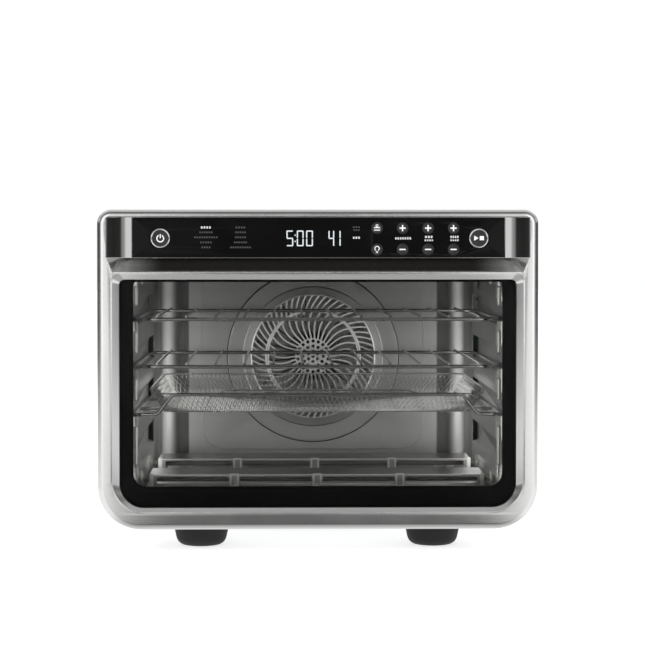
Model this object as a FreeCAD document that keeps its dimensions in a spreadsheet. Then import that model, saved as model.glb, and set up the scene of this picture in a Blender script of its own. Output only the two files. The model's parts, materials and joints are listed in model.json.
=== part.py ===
"""Countertop convection oven with a drop-down door, as a parametric document of its pieces.

Frame: origin under the middle of the oven at counter level, +X to the right seen from the front,
+Y towards the back, +Z up. Millimetres.
"""
import FreeCAD, Part
import math
import os

import Sketcher

doc = FreeCAD.newDocument("CountertopOven")
sheet = doc.addObject("Spreadsheet::Sheet", "Sizes")

# ---------------------------------------------------------------- driving dimensions

SIZES = [
    ("overall_depth", 500.0, "handle front to wall spacers"),
    ("sheet_metal", 0.8, "case and cavity sheet"),
    # door
    ("door_half", 217.0, "half the door's width"),
    ("door_low", 24.2, "door's lower edge above the counter"),
    ("door_high", 339.0, "door's upper edge above the counter"),
    ("door_thick", 28.0, "door skin to door back"),
    ("door_low_corner", 43.0, "radius of the door's lower corners"),
    ("door_high_corner", 14.0, "radius of the door's upper corners"),
    ("door_skin", 1.2, "door sheet"),
    ("handle_reach", 32.0, "handle front ahead of the door skin"),
    ("window_half", 203.5, "half the width of the step round the window"),
    ("window_low", 40.3, "step's lower edge"),
    ("window_high", 277.4, "step's upper edge"),
    ("bevel", 7.9, "width of the bevel inside the step"),
    ("bevel_drop", 3.5, "depth of the bevel"),
    ("step_drop", 1.5, "depth of the step"),
    ("glass_low", 45.4, "outer glass's lower edge"),
    ("glass_high", 270.5, "outer glass's upper edge"),
    ("glass_thick", 4.0, "outer and inner glass"),
    ("clear_half", 182.0, "half the clear width of the glass"),
    ("clear_low", 66.2, "clear glass's lower edge"),
    ("clear_high", 268.0, "clear glass's upper edge"),
    # handle with the controls
    ("handle_half", 208.3, "half the handle's length"),
    ("handle_low", 291.7, "handle's lower face"),
    ("handle_high", 331.5, "handle's upper face"),
    ("handle_corner", 28.3, "radius of the handle's ends"),
    ("handle_wall", 14.0, "front to back of the handle"),
    ("control_glass_thick", 2.0, "control glass"),
    ("button_travel", 0.6, "how far a button goes in"),
    ("big_button", 9.5, "radius of the two round end buttons"),
    ("small_button", 5.9, "radius of the eight small buttons"),
    ("button_gap", 0.3, "gap round a button"),
    # case
    ("case_half", 213.0, "half the case's width"),
    ("case_low", 27.0, "case's underside"),
    ("case_high", 336.0, "case's top"),
    ("case_low_corner", 40.0, "radius of the case's lower corners"),
    ("case_high_corner", 12.0, "radius of the case's upper corners"),
    ("case_front", -176.0, "front edge of the wrap"),
    ("case_back", 228.0, "rear edge of the wrap"),
    ("frame_front", -188.0, "front face of the front frame"),
    ("frame_low", 47.0, "lower edge of the front frame"),
    ("pan_half", 165.0, "half the base pan's width"),
    # cavity
    ("cavity_half", 180.0, "half the cavity's width between grooves"),
    ("cavity_low", 48.0, "cavity floor"),
    ("cavity_high", 282.0, "cavity ceiling"),
    ("cavity_back", 135.0, "rear wall's face"),
    ("cavity_corner", 38.0, "radius of the rear corners"),
    ("groove_deep", 6.0, "depth of the rack grooves"),
    ("groove_tall", 20.0, "clear height of a groove"),
    ("groove_slope", 3.0, "height of a groove's sloping side"),
    ("groove_lowest", 85.8, "floor of the lowest groove"),
    ("groove_pitch", 47.4, "distance between grooves"),
    ("fan_height", 177.0, "fan's centre above the counter"),
    # racks, basket and tray
    ("rack_half", 182.5, "half width of a rack, on the wire's centre line"),
    ("rack_front", -183.0, "front wire of a rack"),
    ("rack_back", 100.0, "rear wire of a rack"),
    ("rack_wire", 1.9, "radius of the rack's edge wire"),
    ("cross_wire", 1.2, "radius of the rack's cross wires"),
    ("cross_pitch", 29.15, "distance between cross wires"),
    ("groove_play", 0.4, "rack above the groove's floor"),
    ("basket_wire", 1.7, "radius of the basket's frame wire"),
    ("basket_top", 160.0, "basket's rim"),
    ("tray_half", 176.0, "half the crumb tray's width"),
    ("tray_back", 127.0, "crumb tray's rear edge"),
    # heaters
    ("lamp_back", 25.0, "lamp's centre, front to back"),
    ("lamp_height", 266.5, "lamp's centre above the counter"),
    ("rod", 3.2, "radius of a heating rod"),
    ("upper_rod_height", 271.0, "upper heating rods"),
    ("lower_rod_height", 64.5, "lower heating rods"),
    ("guard_low", 58.8, "lower edge of a heater guard"),
    ("guard_high", 71.7, "top of a heater guard"),
    ("guard_deep", 64.0, "front to back of a heater guard"),
    ("guard_half", 170.0, "half a heater guard's length"),
    ("front_guard", -152.0, "front face of the front guard"),
    ("rear_guard", 5.0, "front face of the rear guard"),
    # hinges and feet
    ("hinge_back", -196.0, "hinge axis, front to back"),
    ("hinge_height", 40.0, "hinge axis above the counter"),
    ("hinge_side", 160.0, "middle of a hinge ear"),
    ("hinge_pin", 3.0, "radius of a hinge pin"),
    ("hinge_play", 0.05, "radial play of a hinge pin"),
    ("foot_side", 117.5, "feet, left to right"),
    ("foot_front", -144.0, "front feet"),
    ("foot_back", 150.0, "rear feet"),
    ("foot_top", 29.0, "radius of a foot at its top"),
    ("foot_base", 23.0, "radius of a foot on the counter"),
    ("shaft", 4.0, "radius of the fan shaft"),
    ("shaft_play", 0.05, "radial play of the fan shaft"),
]


class Term:
    """A length, together with the sheet expression that gives it."""

    def __init__(self, number, text):
        self.number = float(number)
        self.text = text

    def __add__(self, other):
        other = term(other)
        return Term(self.number + other.number, f"({self.text} + {other.text})")

    def __sub__(self, other):
        other = term(other)
        return Term(self.number - other.number, f"({self.text} - {other.text})")

    def __mul__(self, other):
        other = term(other)
        return Term(self.number * other.number, f"({self.text} * {other.text})")

    def __truediv__(self, other):
        other = term(other)
        return Term(self.number / other.number, f"({self.text} / {other.text})")

    def __radd__(self, other):
        return term(other) + self

    def __rsub__(self, other):
        return term(other) - self

    def __rmul__(self, other):
        return term(other) * self

    def __neg__(self):
        return Term(-self.number, f"(-1 * {self.text})")


def term(amount):
    """A plain number as a Term; a Term as it is."""
    if isinstance(amount, Term):
        return amount
    return Term(amount, f"({float(amount)!r})")


class Sizes:
    """The sheet's cells by name, each as a Term."""


size = Sizes()
for row, (alias, number, meaning) in enumerate(SIZES, start=1):
    sheet.set(f"A{row}", meaning)
    sheet.set(f"B{row}", str(number))
    sheet.setAlias(f"B{row}", alias)
    setattr(size, alias, Term(number, f"Sizes.{alias}"))
doc.recompute()

# Places that follow from the driving dimensions.
handle_front = -(size.overall_depth / 2)
spacer_back = size.overall_depth / 2
door_front = handle_front + size.handle_reach
door_back = door_front + size.door_thick
window_floor = door_front + size.step_drop + size.bevel_drop
groove_side = size.cavity_half + size.groove_deep
rest_heights = [size.groove_lowest + size.groove_pitch * level for level in range(4)]

# ---------------------------------------------------------------- drawing helpers

TURNS = {"x": ((0, 1, 0), 90), "y": ((1, 0, 0), -90), "z": ((0, 0, 1), 0)}
VIEWS = {"front": ("XZ_Plane", -1), "plan": ("XY_Plane", 1), "side": ("YZ_Plane", 1)}


def bind(item, prop, amount):
    item.setExpression(prop, term(amount).text)


def place(item, x, y, z):
    for axis, amount in zip("xyz", (x, y, z)):
        bind(item, f"Placement.Base.{axis}", amount)
    return item


def box(name, x, y, z):
    """Block between two coordinates on each axis, low first."""
    item = doc.addObject("Part::Box", name)
    for prop, (low, high) in zip(("Length", "Width", "Height"), (x, y, z)):
        bind(item, prop, term(high) - low)
    return place(item, x[0], y[0], z[0])


def bar(name, axis, radius, span, centre):
    """Round bar along an axis, from span[0] to span[1], centred on the other two coordinates."""
    item = doc.addObject("Part::Cylinder", name)
    bind(item, "Radius", radius)
    bind(item, "Height", term(span[1]) - span[0])
    turn, angle = TURNS[axis]
    item.Placement.Rotation = FreeCAD.Rotation(FreeCAD.Vector(*turn), angle)
    where = list(centre)
    where.insert("xyz".index(axis), span[0])
    return place(item, *where)


def fuse(name, items):
    item = doc.addObject("Part::MultiFuse", name)
    item.Shapes = items
    return item


def group(name, items):
    """Separate solids that share a node."""
    item = doc.addObject("Part::Compound", name)
    item.Links = items
    return item


def cut(name, base, tools):
    item = doc.addObject("Part::Cut", name)
    item.Base = base
    item.Tool = tools[0] if len(tools) == 1 else fuse(f"{name}_tools", tools)
    return item


def origin_part(body, role):
    return next(part for part in body.Origin.OriginFeatures if part.Role == role)


def new_body(name):
    return doc.addObject("PartDesign::Body", name)


def new_sketch(body, view, start, draw):
    """Sketch in a view, `start` along the axis that the view looks along, drawn by draw(sketch)."""
    role, sign = VIEWS[view]
    sketch = body.newObject("Sketcher::SketchObject", f"{body.Name}_sketch")
    sketch.AttachmentSupport = [(origin_part(body, role), "")]
    sketch.MapMode = "FlatFace"
    bind(sketch, "AttachmentOffset.Base.z", sign * term(start))
    draw(sketch)
    return sketch


def layer(body, view, draw, start, length, pocket=False):
    """Pad or pocket of a drawing, from `start` towards +Y (front), +Z (plan) or +X (side)."""
    kind = "PartDesign::Pocket" if pocket else "PartDesign::Pad"
    sketch = new_sketch(body, view, start, draw)
    item = body.newObject(kind, f"{body.Name}_{'pocket' if pocket else 'pad'}")
    item.Profile = sketch
    bind(item, "Length", length)
    along = VIEWS[view][1] > 0
    item.Reversed = along if pocket else not along
    return item


def loft(body, view, sections, hollow=False):
    """Loft through drawings, each given as (start, draw)."""
    kind = "PartDesign::SubtractiveLoft" if hollow else "PartDesign::AdditiveLoft"
    sketches = [new_sketch(body, view, start, draw) for start, draw in sections]
    item = body.newObject(kind, f"{body.Name}_loft")
    item.Profile = sketches[0]
    item.Sections = sketches[1:]
    item.Ruled = True
    return item


def pattern(body, feature, count):
    """Repeat of a feature round the body's own Y axis."""
    item = body.newObject("PartDesign::PolarPattern", f"{body.Name}_pattern")
    item.Originals = [feature]
    item.Axis = (origin_part(body, "Y_Axis"), [""])
    item.Angle = 360
    item.Occurrences = count
    body.Tip = item
    return item


def dimension(sketch, kind, geometry, amount):
    amount = term(amount)
    index = sketch.addConstraint(Sketcher.Constraint(kind, *geometry, amount.number))
    sketch.setExpression(f"Constraints[{index}]", amount.text)


def edge_dimensions(sketch, left, right, low, high, x, z):
    """Place four edges, each given by its geometry number, at the coordinates x and z."""
    for kind, edge, amount in (
        ("DistanceX", left, x[0]),
        ("DistanceX", right, x[1]),
        ("DistanceY", low, z[0]),
        ("DistanceY", high, z[1]),
    ):
        dimension(sketch, kind, (-1, 1, edge, 1), amount)


def rectangle(x, z):
    """Drawing of a rectangle with sharp corners."""

    def draw(sketch):
        (left, right), (low, high) = [[term(end).number for end in pair] for pair in (x, z)]
        corners = [(left, low), (right, low), (right, high), (left, high)]
        points = [FreeCAD.Vector(*corner, 0) for corner in corners]
        first = sketch.GeometryCount
        for start, end in zip(points, points[1:] + points[:1]):
            sketch.addGeometry(Part.LineSegment(start, end), False)
        for index in range(4):
            joint = (first + index, 2, first + (index + 1) % 4, 1)
            sketch.addConstraint(Sketcher.Constraint("Coincident", *joint))
            direction = "Vertical" if index % 2 else "Horizontal"
            sketch.addConstraint(Sketcher.Constraint(direction, first + index))
        edge_dimensions(sketch, first + 3, first + 1, first, first + 2, x, z)

    return draw


def rounded(x, z, low_radius, high_radius=None):
    """Drawing of a rectangle with one radius at its low corners and one at its high corners."""
    high_radius = low_radius if high_radius is None else high_radius

    def draw(sketch):
        (left, right), (low, high) = [[term(end).number for end in pair] for pair in (x, z)]
        lower, upper = term(low_radius).number, term(high_radius).number
        centres = [
            (right - lower, low + lower, lower, 270),
            (right - upper, high - upper, upper, 0),
            (left + upper, high - upper, upper, 90),
            (left + lower, low + lower, lower, 180),
        ]
        arcs = []
        for across, up, radius, start in centres:
            circle = Part.Circle(FreeCAD.Vector(across, up, 0), FreeCAD.Vector(0, 0, 1), radius)
            arcs.append(Part.ArcOfCircle(circle, math.radians(start), math.radians(start + 90)))
        first = sketch.GeometryCount
        for before, after in zip(arcs[3:] + arcs[:3], arcs):
            sketch.addGeometry(Part.LineSegment(before.EndPoint, after.StartPoint), False)
            sketch.addGeometry(after, False)
        for index in range(8):
            joint = (first + index, 2, first + (index + 1) % 8, 1)
            sketch.addConstraint(Sketcher.Constraint("Tangent", *joint))
        for index in range(4):
            direction = "Vertical" if index % 2 else "Horizontal"
            sketch.addConstraint(Sketcher.Constraint(direction, first + 2 * index))
        for offset, radius in ((1, low_radius), (3, high_radius), (5, high_radius), (7, low_radius)):
            dimension(sketch, "Radius", (first + offset,), radius)
        edge_dimensions(sketch, first + 6, first + 2, first, first + 4, x, z)

    return draw


def circle(x, z, radius):
    """Drawing of a circle."""

    def draw(sketch):
        centre = FreeCAD.Vector(term(x).number, term(z).number, 0)
        round_edge = Part.Circle(centre, FreeCAD.Vector(0, 0, 1), term(radius).number)
        index = sketch.addGeometry(round_edge, False)
        dimension(sketch, "Radius", (index,), radius)
        dimension(sketch, "DistanceX", (-1, 1, index, 3), x)
        dimension(sketch, "DistanceY", (-1, 1, index, 3), z)

    return draw


def polygon(points):
    """Drawing of a closed polygon through points, each an (x, z) pair."""

    def draw(sketch):
        places = [FreeCAD.Vector(term(x).number, term(z).number, 0) for x, z in points]
        first = sketch.GeometryCount
        count = len(places)
        for start, end in zip(places, places[1:] + places[:1]):
            sketch.addGeometry(Part.LineSegment(start, end), False)
        for index, (x, z) in enumerate(points):
            joint = (first + index, 2, first + (index + 1) % count, 1)
            sketch.addConstraint(Sketcher.Constraint("Coincident", *joint))
            dimension(sketch, "DistanceX", (-1, 1, first + index, 1), x)
            dimension(sketch, "DistanceY", (-1, 1, first + index, 1), z)

    return draw


def several(drawings):
    """Several drawings in one sketch."""

    def draw(sketch):
        for drawing in drawings:
            drawing(sketch)

    return draw


def inset(x, z, amount):
    """The pairs x and z, each drawn in by an amount."""
    return (x[0] + amount, x[1] - amount), (z[0] + amount, z[1] - amount)


def both(half):
    """The pair of coordinates either side of the middle."""
    return -term(half), term(half)


def bent_wire(name, points, radius, bend, closed=False):
    """Round wire along straight runs joined by tangent arcs. Sketches are flat and this path need not
    be, so its shape is set directly."""
    corners = [FreeCAD.Vector(*(term(value).number for value in point)) for point in points]
    count = len(corners)
    radius, bend = term(radius).number, term(bend).number
    stops = []
    for index, corner in enumerate(corners):
        if not closed and index in (0, count - 1):
            stops.append((corner, None, corner))
            continue
        before = (corners[index - 1] - corner).normalize()
        after = (corners[(index + 1) % count] - corner).normalize()
        half_turn = before.getAngle(after) / 2
        reach = bend / math.tan(half_turn)
        middle = (before + after).normalize() * (bend / math.sin(half_turn) - bend)
        stops.append((corner + before * reach, corner + middle, corner + after * reach))
    edges = []
    for index, (start, middle, end) in enumerate(stops):
        if middle is not None:
            edges.append(Part.Arc(start, middle, end).toShape())
        if closed or index < count - 1:
            edges.append(Part.LineSegment(end, stops[(index + 1) % count][0]).toShape())
    edges = edges[1:] + edges[:1] if closed else edges
    path = Part.Wire(edges)
    begin = edges[0].valueAt(edges[0].FirstParameter)
    heading = edges[0].tangentAt(edges[0].FirstParameter)
    section = Part.Wire(Part.makeCircle(radius, begin, heading))
    item = doc.addObject("Part::Feature", name)
    item.Shape = path.makePipeShell([section], True, True)
    return item


def edges_at_front(feature, depth):
    """Names of a feature's edges that lie in the plane at a depth."""
    names = []
    for index, edge in enumerate(feature.Shape.Edges, start=1):
        bounds = edge.BoundBox
        if abs(bounds.YMin - depth) < 0.01 and abs(bounds.YMax - depth) < 0.01:
            names.append(f"Edge{index}")
    return names


# ---------------------------------------------------------------- outlines that several pieces share

DOOR_X, DOOR_Z = both(size.door_half), (size.door_low, size.door_high)
CASE_X, CASE_Z = both(size.case_half), (size.case_low, size.case_high)
WINDOW_X, WINDOW_Z = both(size.window_half), (size.window_low, size.window_high)
GLASS_X = both(size.window_half - size.bevel)
GLASS_Z = (size.glass_low, size.glass_high)
CLEAR_X, CLEAR_Z = both(size.clear_half), (size.clear_low, size.clear_high)
HANDLE_Z = (size.handle_low, size.handle_high)


def door_outline(amount):
    x, z = inset(DOOR_X, DOOR_Z, amount)
    return rounded(x, z, size.door_low_corner - amount, size.door_high_corner - amount)


def case_outline(amount):
    x, z = inset(CASE_X, CASE_Z, amount)
    return rounded(x, z, size.case_low_corner - amount, size.case_high_corner - amount)


def window_outline(amount):
    x, z = inset(WINDOW_X, WINDOW_Z, amount)
    return rounded(x, z, 33 - term(amount), 10 - term(amount))


def glass_outline(amount):
    x, z = inset(GLASS_X, GLASS_Z, amount)
    return rounded(x, z, 24 - term(amount), 5 - term(amount))


# ---------------------------------------------------------------- case


def outer_wrap():
    """Top, sides and lower corners in one bent sheet, open between the edges of the base pan."""
    body = new_body("outer_wrap")
    length = size.case_back - size.case_front
    layer(body, "front", case_outline(0), size.case_front, length)
    layer(body, "front", case_outline(size.sheet_metal), size.case_front, length, pocket=True)
    layer(body, "front", rectangle(both(size.pan_half), (size.case_low - 5, size.case_low + 5)),
          size.case_front, length, pocket=True)
    vents = [rounded((y, y + 5), (215, 275), 2.4) for y in range(120, 200, 12)]
    layer(body, "side", several(vents), -(size.case_half + 5), size.case_half * 2 + 10, pocket=True)


def base_pan():
    """Underside, with a flange that closes the case below the cavity behind the door."""
    body = new_body("base_pan")
    layer(body, "plan", rectangle(both(size.pan_half), (size.case_front, size.case_back)),
          size.case_low, size.sheet_metal)
    layer(body, "front", case_outline(size.sheet_metal), size.case_front, size.sheet_metal)
    layer(body, "front", rectangle(both(220), (size.frame_low - 0.2, 340)),
          size.case_front - 1, 5, pocket=True)
    ears = [rectangle((side * size.hinge_side - 4, side * size.hinge_side + 4), (29, 46.8))
            for side in (-1, 1)]
    layer(body, "front", several(ears), size.case_front - 1, 5, pocket=True)
    slots = [rounded((-60, 60), (y, y + 5), 2.4) for y in range(-40, 40, 14)]
    holes = [circle(side * size.foot_side, y, 2.2) for side in (-1, 1)
             for y in (size.foot_front, size.foot_back)]
    layer(body, "plan", several(slots + holes), size.case_low - 2, 6, pocket=True)


def rear_cover():
    """Back plate, with louvre slots behind the cooling fan and a hole for the cord's inlet."""
    body = new_body("rear_cover")
    layer(body, "front", case_outline(0), size.case_back, 1.5)
    vents = [rounded((side * 45 - 32, side * 45 + 32), (z, z + 4.5), 2.2)
             for side in (-1, 1) for z in range(126, 232, 12)]
    holes = [circle(x, z, 1.7) for x, z in cover_screw_places()]
    layer(body, "front", several(vents + holes + [circle(-150, 70, 8)]),
          size.case_back - 2, 6, pocket=True)


def cover_screw_places():
    """Screws of the rear cover: four along the top and the bottom, two at each side."""
    rows = [(x, z) for z in (50, 322) for x in (-165, -55, 55, 165)]
    return rows + [(side * 198, z) for side in (-1, 1) for z in (130, 240)]


def front_frame():
    """Frame round the cavity's mouth. Its sides open out where the rack grooves run through."""
    body = new_body("front_frame")
    depth = size.case_front - size.frame_front
    wall = size.sheet_metal
    outline = (CASE_X, (size.frame_low, size.case_high))
    corners = (6, size.case_high_corner)
    layer(body, "front", rounded(*outline, *corners), size.frame_front, depth)
    layer(body, "front", rounded(*inset(*outline, wall), *(corner - wall for corner in corners)),
          size.frame_front + wall, depth, pocket=True)
    layer(body, "front", rectangle(both(groove_side + wall), (size.frame_low, size.cavity_high + 1)),
          size.frame_front, depth)
    layer(body, "front", rectangle(both(size.cavity_half), (size.cavity_low, size.cavity_high)),
          size.frame_front, depth, pocket=True)
    notches = [rectangle(both(groove_side), (floor, floor + size.groove_tall))
               for floor in rest_heights]
    layer(body, "front", several(notches), size.frame_front, depth, pocket=True)


def feet():
    solids = []
    for side in (-1, 1):
        for y in (size.foot_front, size.foot_back):
            cone = doc.addObject("Part::Cone", "foot_cone")
            bind(cone, "Radius1", size.foot_base)
            bind(cone, "Radius2", size.foot_top)
            bind(cone, "Height", size.case_low)
            place(cone, side * size.foot_side, y, 0)
            centre = (side * size.foot_side, y)
            recess = bar("foot_recess", "z", 5.2, (-1, 14), centre)
            bore = bar("foot_bore", "z", 2.1, (13, 30), centre)
            solids.append(cut("foot", cone, [recess, bore]))
    group("feet", solids)


def case_screws():
    """Pan-head screws of the feet and of the rear cover."""
    solids = []
    for side in (-1, 1):
        for y in (size.foot_front, size.foot_back):
            centre = (side * size.foot_side, y)
            head = bar("foot_screw_head", "z", 4.5, (11, 14), centre)
            shank = bar("foot_screw_shank", "z", 2.0, (14, 33), centre)
            solids.append(fuse("foot_screw", [head, shank]))
    face = size.case_back + 1.5
    for centre in cover_screw_places():
        head = bar("cover_screw_head", "y", 3.6, (face, face + 2), centre)
        shank = bar("cover_screw_shank", "y", 1.6, (face - 9, face), centre)
        solids.append(fuse("cover_screw", [head, shank]))
    group("case_screws", solids)


def wall_spacers():
    """Two bumpers that keep the back away from a wall."""
    face = size.case_back + 1.5
    solids = [fuse("wall_spacer", [bar("spacer_pad", "y", 9, (face, spacer_back), (x, 285)),
                                   bar("spacer_foot", "y", 12, (face, face + 3), (x, 285))])
              for x in (-120, 120)]
    group("wall_spacers", solids)


def cord_inlet():
    """Flanged bush in the rear cover that the supply cord passes through."""
    face = size.case_back + 1.5
    centre = (-150, 70)
    solid = fuse("inlet_solid", [bar("inlet_flange", "y", 11.5, (face, face + 3), centre),
                                 bar("inlet_sleeve", "y", 8, (face - 9.5, face + 14), centre)])
    cut("cord_inlet", solid, [bar("inlet_bore", "y", 4.25, (face - 12, face + 16), centre)])


def hinge_brackets():
    """Two brackets on the base pan, each with an ear that holds the door's hinge pin."""
    solids = []
    for side in (-1, 1):
        middle = side * size.hinge_side
        x = (middle - 2, middle + 2)
        foot = (middle - 9, middle + 9)
        top = size.case_low + size.sheet_metal
        pieces = [
            box("hinge_foot", foot, (size.case_front + 4, -146), (top, top + 2.5)),
            box("hinge_post", x, (size.case_front + 4, -146), (top, size.frame_low - 0.6)),
            box("hinge_neck", x, (size.hinge_back, size.case_front + 5), (34, 46)),
            bar("hinge_ear", "x", 6, x, (size.hinge_back, size.hinge_height)),
        ]
        bore = bar("hinge_bore", "x", size.hinge_pin + size.hinge_play, (middle - 5, middle + 5),
                   (size.hinge_back, size.hinge_height))
        solids.append(cut("hinge_bracket", fuse("hinge_solid", pieces), [bore]))
    group("hinge_brackets", solids)


# ---------------------------------------------------------------- cavity


def side_profile(side, offset):
    """Points up one side of the cavity, in and out of the rack grooves."""
    near, far = side * (size.cavity_half + offset), side * (groove_side + offset)
    points = [(near, size.cavity_low)]
    for floor in rest_heights:
        ceiling = floor + size.groove_tall
        points += [(near, floor - size.groove_slope), (far, floor),
                   (far, ceiling), (near, ceiling + size.groove_slope)]
    points.append((near, size.cavity_high))
    return points


def side_liner(name, side, holes):
    """Side wall of the cavity, pressed out into four grooves that carry the racks."""
    body = new_body(name)
    start, end = size.case_front, size.cavity_back - size.cavity_corner
    outline = side_profile(side, 0) + side_profile(side, size.sheet_metal)[::-1]
    layer(body, "front", polygon(outline), start, end - start)
    layer(body, "side", several(holes), side * 184 - 12, 24, pocket=True)


def rod_places():
    """Centres of the heating rods in the side view: three above, one under each guard."""
    above = [(y, size.upper_rod_height) for y in (-120, -25, 70)]
    below = [(guard + size.guard_deep / 2, size.lower_rod_height)
             for guard in (size.front_guard, size.rear_guard)]
    return above, below


def rod_holes():
    above, below = rod_places()
    return [circle(y, z, 6.5) for y, z in above + below]


def rear_liner():
    """Rear wall of the cavity with its two rounded corners and the opening behind the grille."""
    body = new_body("rear_liner")
    height = size.cavity_high - size.cavity_low
    outer = size.sheet_metal
    front = size.cavity_back - size.cavity_corner

    def plan(grow):
        return rounded(both(size.cavity_half + grow), (0, size.cavity_back + grow), 5,
                       size.cavity_corner + grow)

    layer(body, "plan", plan(outer), size.cavity_low, height)
    layer(body, "plan", plan(0), size.cavity_low, height, pocket=True)
    layer(body, "plan", rectangle(both(200), (-10, front)), size.cavity_low, height, pocket=True)
    screws = [circle(x, z, 1.6) for x, z in grille_screw_places(size.fan_height)]
    opening = circle(0, size.fan_height, 78)
    probe = circle(-130, 273, 2.5)
    layer(body, "front", several([opening, probe] + screws), size.cavity_back - 3, 8, pocket=True)


def cavity_ceiling():
    """Flat sheet over the cavity."""
    body = new_body("cavity_ceiling")
    outline = rounded(both(groove_side + size.sheet_metal),
                      (size.case_front, size.cavity_back + size.sheet_metal), 1, size.cavity_corner)
    layer(body, "plan", outline, size.cavity_high, size.sheet_metal)


def cavity_floor():
    """Flat sheet under the cavity."""
    body = new_body("cavity_floor")
    outline = rounded(both(groove_side + size.sheet_metal),
                      (size.case_front, size.cavity_back + size.sheet_metal), 1, size.cavity_corner)
    layer(body, "plan", outline, size.cavity_low - size.sheet_metal, size.sheet_metal)


def insulation_blanket():
    """Mineral wool over the ceiling and down both sides, cut out round the lamp."""
    y = (-168, 130)
    sides = [box("wool_side", (low, low + 10), y, (50, 286)) for low in (-199, 189)]
    top = box("wool_top", (-199, 199), y, (286, 296))
    lamp = bar("wool_lamp_hole", "x", 15, (180, 205), (size.lamp_back, size.lamp_height))
    cut("insulation_blanket", fuse("wool", sides + [top]), [lamp])


def heaters(name, places):
    group(name, [bar("rod", "x", size.rod, (-184, 184), centre) for centre in places])


def heater_insulators():
    """Ceramic bushes that carry both ends of each heating rod through the side walls."""
    above, below = rod_places()
    solids = []
    for side in (-1, 1):
        span = (178, 188) if side > 0 else (-188, -178)
        for centre in above + below:
            sleeve = bar("bush", "x", 6.5, span, centre)
            bore = bar("bush_bore", "x", size.rod, (span[0] - 1, span[1] + 1), centre)
            solids.append(cut("insulator", sleeve, [bore]))
    group("heater_insulators", solids)


def heater_guard(name, front):
    """Folded channel over a lower heating rod, with four long slots in its front and rear faces."""
    body = new_body(name)
    wall = 1.0
    layer(body, "plan", rectangle(both(size.guard_half), (front, front + size.guard_deep)),
          size.guard_low, size.guard_high - size.guard_low)
    layer(body, "plan",
          rectangle(both(size.guard_half - wall), (front + wall, front + size.guard_deep - wall)),
          size.guard_low, size.guard_high - size.guard_low - wall, pocket=True)
    slots = [rounded((84 * step - 126 - 36.5, 84 * step - 126 + 36.5), (62.5, 69.4), 2)
             for step in range(4)]
    layer(body, "front", several(slots), front - 2, size.guard_deep + 4, pocket=True)
    ends = circle(front + size.guard_deep / 2, size.lower_rod_height, size.rod)
    layer(body, "side", ends, -(size.guard_half + 2), size.guard_half * 2 + 4, pocket=True)


def grille_screw_places(height):
    """Four screws on the grille's flange, between the walls of its raised ring and its rim."""
    reach = 90 / math.sqrt(2)
    return [(x * reach, height + z * reach) for x in (-1, 1) for z in (-1, 1)]


def fan_grille():
    """Round pressing in front of the fan: flange, raised ring, slanted outer slots, curved inner
    vanes and a perforated hub. Drawn about its own axis and then lifted to the fan's height."""
    body = new_body("fan_grille")
    seat = size.cavity_back
    layer(body, "front", circle(0, 0, 99), seat - 1.2, 1.2)
    layer(body, "front", circle(0, 0, 79.6), seat - 8.5, 7.4)
    layer(body, "front", circle(0, 0, 78.2), seat - 7.3, 7.4, pocket=True)
    layer(body, "front", circle(0, 0, 71.5), seat - 9, 3, pocket=True)
    layer(body, "front", circle(0, 0, 72.7), seat - 7.3, 1.2)
    holes = [circle(6.1 * math.cos(turn) * ring, 6.1 * math.sin(turn) * ring, 2.1)
             for ring in (1, 2) for turn in [math.tau * step / (6 * ring) for step in range(6 * ring)]]
    holes += [circle(0, 0, 2.1)]
    holes += [circle(x, z, 1.6) for x, z in grille_screw_places(0)]
    layer(body, "front", several(holes), seat - 12, 14, pocket=True)
    slanted = polygon([(-4.2, 55.5), (-1.9, 55.5), (3.6, 69), (0.7, 69)])
    outer = layer(body, "front", slanted, seat - 12, 8, pocket=True)
    pattern(body, outer, 48)
    curved = polygon([(0, 21), (2, 21), (3.6, 31), (5.9, 41), (10.3, 51), (6.3, 52),
                      (2.6, 42), (0.6, 31.5)])
    inner = layer(body, "front", curved, seat - 12, 8, pocket=True)
    pattern(body, inner, 30)
    bind(body, "Placement.Base.z", size.fan_height)


def grille_screws():
    face = size.cavity_back - 1.2
    solids = [fuse("grille_screw", [bar("grille_screw_head", "y", 3.2, (face - 2, face), centre),
                                    bar("grille_screw_shank", "y", 1.5, (face, face + 8), centre)])
              for centre in grille_screw_places(size.fan_height)]
    group("grille_screws", solids)


def temperature_probe():
    centre = (-130, 273)
    fuse("temperature_probe", [bar("probe_rod", "y", 2.5, (95, 148), centre),
                               bar("probe_nut", "y", 5.5, (size.cavity_back + 1.2, 142), centre)])


def lamp():
    """Lamp in the right-hand wall: lens, bulb and the cup that holds them."""
    centre = (size.lamp_back, size.lamp_height)
    outer = size.cavity_half + size.sheet_metal
    bar("lamp_lens", "x", 10, (size.cavity_half - 2.5, outer), centre)
    cup = cut("lamp_cup", bar("cup_wall", "x", 13.5, (outer, 208), centre),
              [bar("cup_room", "x", 12.5, (outer - 1, 207), centre)])
    fuse("lamp_housing", [cup, bar("lamp_socket", "x", 6, (198, 207.5), centre)])
    fuse("lamp_bulb", [bar("bulb_envelope", "x", 7, (183.5, 192), centre),
                       bar("bulb_base", "x", 4, (191, 198), centre)])


# ---------------------------------------------------------------- air system and power


def fan_chamber():
    """Pan behind the rear wall that the convection fan turns in."""
    back = 172
    height = size.fan_height
    solid = cut("chamber_pan",
                box("chamber_outside", (-96, 96), (size.cavity_back + 1.2, back), (81, 273)),
                [box("chamber_inside", (-94.8, 94.8), (size.cavity_back, back - 1.2), (82.2, 271.8))])
    cut("fan_chamber", solid, [bar("chamber_hole", "y", 6, (165, 180), (0, height))])


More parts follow.
